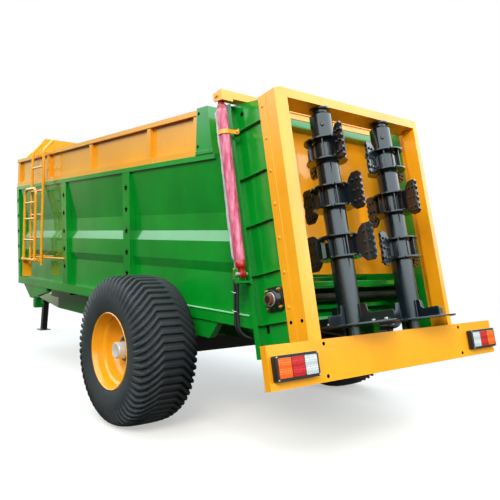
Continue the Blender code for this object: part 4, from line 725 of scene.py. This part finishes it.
def packing_film():
    """Thin polythene: rose over the red barrel, milky where it stands off in front, streaked along it."""
    material, tree, output = fresh("polythene_packing_film")
    place = add(tree, "ShaderNodeTexCoord").outputs["Object"]
    foot = REAR @ Vector((CYLINDER[0], 0, 0))
    out = add(tree, "ShaderNodeVectorMath", {0: place, 1: foot}, operation="SUBTRACT")
    ahead = add(tree, "ShaderNodeVectorMath", {0: out.outputs[0], 1: FORE}, operation="DOT_PRODUCT")
    along = add(tree, "ShaderNodeVectorMath", {0: place, 1: (38.0, 38.0, 2.6)}, operation="MULTIPLY")
    milky = add(tree, "ShaderNodeTexNoise", {"Vector": along.outputs[0], "Scale": 1.0, "Detail": 5.0,
        "Roughness": 0.6, "Distortion": 0.4})
    edge = add(tree, "ShaderNodeMath", {0: milky.outputs["Fac"], 1: 0.030, 2: -0.005},
        operation="MULTIPLY_ADD")
    split = add(tree, "ShaderNodeMath", {0: ahead.outputs["Value"], 1: edge.outputs[0]},
        operation="SUBTRACT")
    loose = add(tree, "ShaderNodeMapRange", {0: split.outputs[0], 1: 0.008, 2: 0.018, 3: 0.0, 4: 1.0})
    share = add(tree, "ShaderNodeMapRange", {0: milky.outputs["Fac"], 1: 0.40, 2: 0.72, 3: 0.0, 4: 1.0})
    rose = add(tree, "ShaderNodeMix", {0: share.outputs[0], 6: linear("b03f66"), 7: linear("dc8ba8")},
        data_type="RGBA")
    milk = add(tree, "ShaderNodeMix", {0: share.outputs[0], 6: linear("a9b3b5"), 7: linear("e4eaec")},
        data_type="RGBA")
    tone = add(tree, "ShaderNodeMix", {0: loose.outputs[0], 6: rose.outputs[2], 7: milk.outputs[2]},
        data_type="RGBA")
    folds = add(tree, "ShaderNodeTexNoise", {"Vector": place, "Scale": 30.0, "Detail": 4.0,
        "Distortion": 1.5})
    bump = add(tree, "ShaderNodeBump", {"Height": folds.outputs["Fac"], "Strength": 0.35,
        "Distance": 0.006})
    shader = add(tree, "ShaderNodeBsdfPrincipled", {"Base Color": tone.outputs[2], "Roughness": 0.32,
        "IOR": 1.5, "Normal": bump.outputs[0]})
    tree.links.new(shader.outputs[0], output.inputs["Surface"])
    return material


film = packing_film()


def wrap_shape():
    """Radius over angle t and height h: round the barrel, drawn out in front where the film's edges meet, with
    soft folds along it and gathered ends."""
    h = np.linspace(*WRAP_H, 170)[:, None]
    t = np.linspace(0, 2 * np.pi, 64, endpoint=False)[None, :]
    folds = 0.0012 * np.sin(5 * t + 6 * h) + 0.0009 * np.sin(9 * t - 23 * h) + 0.0007 * np.sin(3 * t + 61
        * h)
    front = np.clip(np.cos(t), 0, 1) ** 3
    reach = 0.030 + 0.003 * np.sin(9 * h) + 0.002 * np.sin(31 * h)
    ends = np.clip(np.minimum(h - WRAP_H[0], WRAP_H[1] - h) / 0.03, 0, 1)
    r = 0.0335 + (0.0050 + folds + front * reach) * np.sqrt(ends)
    body = np.stack(np.broadcast_arrays(r * np.cos(t), r * np.sin(t), h), -1)
    lids = np.zeros((1, 64, 3))
    return grid(np.concatenate([lids + (0, 0, WRAP_H[0]), body, lids + (0, 0, WRAP_H[1])]), False, True)


def strap_shape(sign):
    """A flat band: over the wrap's outer side and back to two feet on the channel."""
    t = np.radians(np.linspace(-20, 200, 24))
    outer = np.c_[0.047 * np.cos(t), 0.047 * np.sin(t)]
    line = np.concatenate([[(0.050, -0.074)], outer, [(-0.050, -0.074)]])
    inner = np.concatenate([[(0.046, -0.074)], outer * 0.915, [(-0.046, -0.074)]])
    points, faces = slab(np.concatenate([line, inner[::-1]]), 0.032)
    return points[:, [0, 2, 1]] * (1, sign, 1), faces if sign > 0 else [f[::-1] for f in faces]


for side, sign in (("left", 1), ("right", -1)):
    stand = REAR @ Matrix.Translation((CYLINDER[0], sign * CYLINDER[1], 0))
    piece(f"cylinder_film_{side}", "machine", "red_enamel", film, placed(wrap_shape(), stand), smooth=60)
    foot = lathe([(0, 0.534), (0.0345, 0.534), (0.0365, 0.538), (0.0365, 0.585), (0.034, 0.590),
        (0.034, 0.603), (0.0325, 0.606), (0, 0.606)], 48)
    eye = lathe([(0.0135, -0.0195), (0.0285, -0.0195), (0.030, -0.018), (0.030, 0.018), (0.0285, 0.0195),
        (0.0135, 0.0195)], 40, True)
    neck = lathe([(0, 0.50), (0.019, 0.505), (0.020, 0.520), (0.026, 0.536), (0, 0.54)], 32)
    top = lathe([(0.0185, 1.690), (0.0335, 1.690), (0.0345, 1.694), (0.0345, 1.724), (0.032, 1.7305),
        (0.0185, 1.7305)], 48, True)
    piece(f"cylinder_ends_{side}", "machine", "red_enamel", red_enamel, placed(foot, stand),
        placed(neck, stand), placed(top, stand),
          placed(eye, stand @ facing((0, 0, 0.49), (0, 1, 0))))
    pin = lathe([(0, -0.047), (0.0125, -0.047), (0.0125, 0.047), (0.011, 0.049), (0, 0.049)], 32)
    piece(f"foot_pin_{side}", "machine", "chromed_rod", zinc_steel,
        placed(pin, stand @ facing((0, 0, 0.49), (0, 1, 0))))
    rod_eye = lathe([(0.0135, -0.0195), (0.0290, -0.0195), (0.0305, -0.018), (0.0305, 0.018),
        (0.0290, 0.0195), (0.0135, 0.0195)], 40, True)
    piece(f"rod_eye_{side}", "gate", "red_enamel", red_enamel,
        placed(rod_eye, stand @ facing((0, 0, 1.794), (0, 1, 0))),
          placed(lathe([(0, 1.736), (0.022, 1.736), (0.024, 1.740), (0.024, 1.762), (0.019, 1.770),
          (0, 1.770)], 32), stand))
    band = piece(f"cylinder_band_{side}", "machine", "yellow_enamel", yellow_enamel,
                 placed(strap_shape(sign), stand @ Matrix.Translation((0, 0, STRAP_H))), bevel=0.001)
    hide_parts(f"cylinder_strap_{side}")
    feet = [placed(slab([(-0.012, -0.018), (0.012, -0.018), (0.012, 0.018), (-0.012, 0.018)], 0.006),
                   stand @ Matrix.Translation((x, -sign * 0.0755, STRAP_H))) for x in (-0.058, 0.058)]
    piece(f"band_feet_{side}", "machine", "yellow_enamel", yellow_enamel, *feet, bevel=0.001)
    piece(f"band_bolts_{side}", "machine", "chromed_rod", zinc_steel,
          *[placed(nut(0.015, 0.008), stand @ facing((x, -sign * 0.0725, STRAP_H), (0, sign, 0)))
          for x in (-0.058, 0.058)])

# ---- Hydraulic hoses ------------------------------------------------------------------------------
# Two rubber hoses a side, from the barrel's ports down the wall and in under the sill, with crimped
# yellow-zinc ends and bent steel stems, tied together with white nylon ties.


def smooth_path(points, steps=10):
    """Catmull-Rom through the points: each stretch is the cubic of its four neighbours at even steps."""
    p = np.array(points, float)
    p = np.concatenate([[2 * p[0] - p[1]], p, [2 * p[-1] - p[-2]]])
    a, b, c, d = p[:-3, None], p[1:-2, None], p[2:-1, None], p[3:, None]
    t = np.linspace(0, 1, steps, endpoint=False)[None, :, None]
    curve = 0.5 * (2 * b + (c - a) * t + (2 * a - 5 * b + 4 * c - d) * t**2 + (3 * b - a - 3 * c + d)
        * t**3)
    return np.concatenate([curve.reshape(-1, 3), p[-2:-1]])


def tube(path, radius, sides=16, reference=(0.31, 0.86, 0.41)):
    """A circle carried along the path, square to it, closed to a point at each end."""
    path = np.asarray(path, float)
    run = np.gradient(path, axis=0)
    run /= np.linalg.norm(run, axis=1, keepdims=True)
    side = np.cross(run, reference)
    side /= np.linalg.norm(side, axis=1, keepdims=True)
    over = np.cross(run, side)
    t = np.linspace(0, 2 * np.pi, sides, endpoint=False)[None, :, None]
    rings = path[:, None] + radius * (side[:, None] * np.cos(t) + over[:, None] * np.sin(t))
    ends = [np.repeat(path[k][None, None], sides, 1) for k in (0, -1)]
    return grid(np.concatenate([ends[0], rings, ends[1]]), False, True)


def rear_at(depth, y, h):
    return np.array(REAR @ Vector((depth, y, h)))


nylon, nylon_tree, nylon_out = fresh("white_nylon")
nylon_skin = add(nylon_tree, "ShaderNodeBsdfPrincipled",
    {"Base Color": linear("e8e8e4"), "Roughness": 0.45})
nylon_tree.links.new(nylon_skin.outputs[0], nylon_out.inputs["Surface"])
HOSE_R = 0.0112
for side, sign in (("left", 1), ("right", -1)):
    hoses, crimps, stems, hexes, ties = [], [], [], [], []
    for k, h in enumerate((0.635, 0.565)):
        port = rear_at(0.45 + 0.062 * math.cos(math.radians(20)) + 0.012,
            sign * (0.948 - 0.068 * math.sin(math.radians(20))), h)
        shift, down = 0.020 * k, port[0] + 0.004 - 0.012 * k
        route = [(down, sign * 0.925, 1.20 - 0.03 * k), (down - 0.01, sign * 0.925, 1.10),
            (down - 0.02, sign * 0.925, 0.95),
                 (down - 0.04, sign * 0.915, 0.83), (down - 0.09, sign * 0.83, 0.775),
                 (down - 0.13 - shift, sign * 0.66, 0.765),
                 (down - 0.13 - shift, sign * 0.481, 0.765)]
        hoses.append(tube(smooth_path(route), HOSE_R, 18))
        top = np.array(route[0])
        crimps.append(tube(np.linspace(top + (0, 0, 0.052), top - (0.001, 0, 0.012), 12), 0.0130, 18))
        bend = [top + (0, 0, 0.05), top + (0, 0, 0.085), port + (0.010, 0, -0.012), port + (0.0, 0, 0.0),
            port - (0.030, 0, -0.004)]
        stems.append(tube(smooth_path(bend, 8), 0.0065, 14))
        hexes.append(placed(nut(0.024, 0.020), facing(port - np.array((0.020, 0, 0)), (1, 0, 0))))
        hexes.append(placed(nut(0.022, 0.016), facing(top + (0, 0, 0.050), (0, 0, 1))))
    for z in (0.966, 1.096):
        x = hoses[0][0][:, 0][np.abs(hoses[0][0][:, 2] - z) < 0.02].mean() - 0.006
        t = np.linspace(0, 2 * np.pi, 33)
        loop = np.c_[x + 0.0205 * np.cos(t), sign * 0.925 + 0.0140 * np.sin(t), z + 0 * t]
        ties.append(tube(loop, 0.0022, 8, (0.02, 0.03, 1)))
        ties.append(tube(np.array([[x + 0.018, sign * 0.925, z], [x + 0.026, sign * 0.930, z + 0.002],
            [x + 0.032, sign * 0.938, z + 0.006]]), 0.0016, 8))
    made = piece(f"rubber_hoses_{side}", "machine", "hose_rubber", matt_black, *hoses, smooth=60)
    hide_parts(f"hose_pair_{side}")
    piece(f"hose_crimps_{side}", "machine", "chromed_rod", yellow_zinc, *crimps, *hexes)
    piece(f"hose_stems_{side}", "machine", "chromed_rod", zinc_steel, *stems, smooth=60)
    piece(f"hose_ties_{side}", "machine", "lamp_housing", nylon, *ties, smooth=60)

# ---- Tail lamps -----------------------------------------------------------------------------------
# Thick black housings on the bumper board, each with three lenses over rows of small diodes: amber on the
# outside, red in the middle and clear towards the centre.

LAMP_Y, LAMP_H = (0.875, 1.225), (-0.232, -0.082)


def lens(name, colour, pale):
    """Moulded acrylic over white diodes: strong colour with paler cells 12 mm apart."""
    material, tree, output = fresh(name)
    place = add(tree, "ShaderNodeTexCoord").outputs["Object"]
    cells = add(tree, "ShaderNodeTexVoronoi", {"Vector": place, "Scale": 80.0, "Randomness": 0.15})
    share = add(tree, "ShaderNodeMapRange", {0: cells.outputs["Distance"], 1: 0.15, 2: 0.5, 3: 1.0, 4: 0.0})
    tone = add(tree, "ShaderNodeMix", {0: share.outputs[0], 6: linear(colour), 7: linear(pale)},
        data_type="RGBA")
    bump = add(tree, "ShaderNodeBump", {"Height": cells.outputs["Distance"], "Strength": 0.3,
        "Distance": 0.002})
    shader = add(tree, "ShaderNodeBsdfPrincipled", {"Base Color": tone.outputs[2], "Roughness": 0.18,
        "IOR": 1.49,
                                                   "Normal": bump.outputs[0], "Coat Weight": 0.15,
                                                   "Coat Roughness": 0.05})
    tree.links.new(shader.outputs[0], output.inputs["Surface"])
    return material


def lamp_plastic():
    """Black ABS housing with fine moulded grain."""
    material, tree, output = fresh("black_abs")
    place = add(tree, "ShaderNodeTexCoord").outputs["Object"]
    grain = add(tree, "ShaderNodeTexNoise", {"Vector": place, "Scale": 260.0, "Detail": 2.0})
    bump = add(tree, "ShaderNodeBump", {"Height": grain.outputs["Fac"], "Strength": 0.2,
        "Distance": 0.0006})
    shader = add(tree, "ShaderNodeBsdfPrincipled", {"Base Color": linear("131518"), "Roughness": 0.42,
        "Normal": bump.outputs[0]})
    tree.links.new(shader.outputs[0], output.inputs["Surface"])
    return material


black_abs = lamp_plastic()
LENSES = [("amber_lens", lens("amber_acrylic", "dd540c", "f48f42")),
    ("red_lens", lens("red_acrylic", "a80d1c", "d23a48")),
          ("clear_lens", lens("clear_acrylic", "a9b6c2", "e8eef2"))]
for side, sign in (("left", 1), ("right", -1)):
    outer = rounded_rectangle(sum(LAMP_Y) / 2, sum(LAMP_H) / 2, LAMP_Y[1] - LAMP_Y[0],
        LAMP_H[1] - LAMP_H[0], 0.012)
    across = REAR @ Matrix.Translation((-0.0768, 0, 0)) @ Matrix.Rotation(math.pi / 2, 4, "Z")
    outline = outer * (sign, 1)
    housing = piece(f"lamp_housing_{side}", "machine", "lamp_housing", black_abs,
        placed(slab(outline, 0.0425), across), bevel=0.003)
    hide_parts(f"tail_lamp_{side}")
    for k, (name, material) in enumerate(LENSES):
        y = LAMP_Y[1] - 0.016 - 0.103 * (k + 0.5) - 0.0045 * k
        window = rounded_rectangle(sign * y, sum(LAMP_H) / 2, 0.101, 0.116, 0.006)
        made = piece(f"{name}_{side}", "machine", "lamp_housing", material,
                     placed(slab(window, 0.006), REAR @ Matrix.Translation((-0.0990, 0, 0))
                     @ Matrix.Rotation(math.pi / 2, 4, "Z")), bevel=0.0018)
    corners = [placed(nut(0.010, 0.004), on_rear(-0.0980, sign * y, h, (-1, 0, 0)))
               for y in (LAMP_Y[0] + 0.009, LAMP_Y[1] - 0.009)
               for h in (LAMP_H[0] + 0.009, LAMP_H[1] - 0.009)]
    piece(f"lamp_screws_{side}", "machine", "chromed_rod", zinc_steel, *corners)

# ---- Ladder ---------------------------------------------------------------------------------------
# Bent yellow tube: a fixed upper ladder on stand-offs, a folding hairpin section hooked up in front of it,
# a step bracket on the front foot and a brace back to the middle rib.

TUBE = 0.0165
UPPER_X, LOWER_X = (AXLE_X + 2.66, AXLE_X + 3.02), (AXLE_X + 2.70, AXLE_X + 3.06)
LADDER_Y, FOLD_Y, FOLD_Z = 0.975, 1.040, 1.19
rails = []
for x in UPPER_X:
    straight = np.c_[np.full(9, x), np.full(9, LADDER_Y), np.linspace(FOLD_Z - 0.06, 2.445, 9)]
    t = np.linspace(0, 0.723, 9)[1:]
    bend = np.c_[np.full(8, x), LADDER_Y - 0.07 * (1 - np.cos(t)), 2.445 + 0.07 * np.sin(t)]
    over = bend[-1] + np.linspace(0.02, 0.135, 5)[:, None] * np.array([0, -math.sin(0.723),
        math.cos(0.723)])
    rails.append(tube(np.concatenate([straight, bend, over]), TUBE, 24, (1, 0.02, 0.03)))
rungs = [tube(np.linspace((UPPER_X[0], LADDER_Y, z), (UPPER_X[1], LADDER_Y, z), 4), 0.0125, 20, (0, 1, 0.1))
    for z in (1.45, 1.72, 2.00, 2.28)]
stays = [placed(slab(rounded_rectangle(0, 0, 0.050, 0.034, 0.004), 0.010),
    Matrix.Translation((x, y, z)) @ Matrix.Rotation(math.pi / 2, 4, "Z"))
         for x in UPPER_X for y, z in ((0.936, 2.445), (0.950, 1.235))]
links = [tube(np.linspace((x, y, z), (x, LADDER_Y, z), 4), 0.009, 14, (1, 0.1, 0)) for x in UPPER_X
    for y, z in ((0.906, 2.445), (0.828, 1.235))]
hinge_bar = tube(np.linspace((UPPER_X[0] - 0.03, FOLD_Y, FOLD_Z), (LOWER_X[1] + 0.04, FOLD_Y, FOLD_Z), 4),
    0.010, 20, (0, 1, 0.1))
ears = [placed(slab(rounded_rectangle(1.004, 1.188, 0.096, 0.036, 0.008), 0.014),
    Matrix.Translation((x, 0, 0)) @ Matrix.Rotation(math.pi / 2, 4, "Z"))
        for x in UPPER_X]
step = placed(slab(rounded_rectangle(0.985, 1.075, 0.110, 0.190, 0.006), 0.006),
    Matrix.Translation((LOWER_X[1] + 0.034, 0, 0)) @ Matrix.Rotation(math.pi / 2, 4, "Z"))
tread = placed(slab(rounded_rectangle(0, 0, 0.09, 0.006, 0.002), 0.078),
    Matrix.Translation((LOWER_X[1] - 0.010, 0.979, 0.986)))
brace = tube(np.array([(UPPER_X[1], 0.955, 1.215), (AXLE_X + 2.62, 0.935, 1.218),
    (AXLE_X + 2.235, 0.8765, 1.222)]), 0.011, 18, (0, 0.1, 1))
made = piece("ladder_fixed_part", "machine", "yellow_enamel", yellow_enamel, *rails, *rungs, *links,
    hinge_bar, brace, smooth=50)
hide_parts("ladder_upper")
piece("ladder_brackets", "machine", "yellow_enamel", yellow_enamel, *stays, *ears, step, tread,
    bevel=0.0015)

x0, x1 = LOWER_X
t = np.linspace(0, np.pi / 2, 9)
rise = np.c_[np.full(6, x0), np.full(6, FOLD_Y), np.linspace(FOLD_Z, 1.93, 6)]
left_arc = np.c_[x0 + 0.07 * (1 - np.cos(t)), np.full(9, FOLD_Y), 1.95 + 0.07 * np.sin(t)]
hairpin = np.concatenate([rise, left_arc])
hairpin = np.concatenate([hairpin, (hairpin * (-1, 1, 1) + (x0 + x1, 0, 0))[::-1]])
steps = [tube(np.linspace((x0, FOLD_Y, z), (x1, FOLD_Y, z), 4), 0.0125, 20, (0, 1, 0.1))
    for z in (1.42, 1.67, 1.86)]
sleeves = [placed(lathe([(0.0112, -0.021), (0.0225, -0.021), (0.024, -0.0195), (0.024, 0.0195),
    (0.0225, 0.021), (0.0112, 0.021)], 32, True),
                  facing((x, FOLD_Y, FOLD_Z), (1, 0, 0))) for x in LOWER_X]
made = piece("ladder_folding_part", "ladder", "yellow_enamel", yellow_enamel,
    tube(hairpin, TUBE, 24, (0.02, 1, 0.03)), *steps, *sleeves, smooth=50)
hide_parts("ladder_lower")
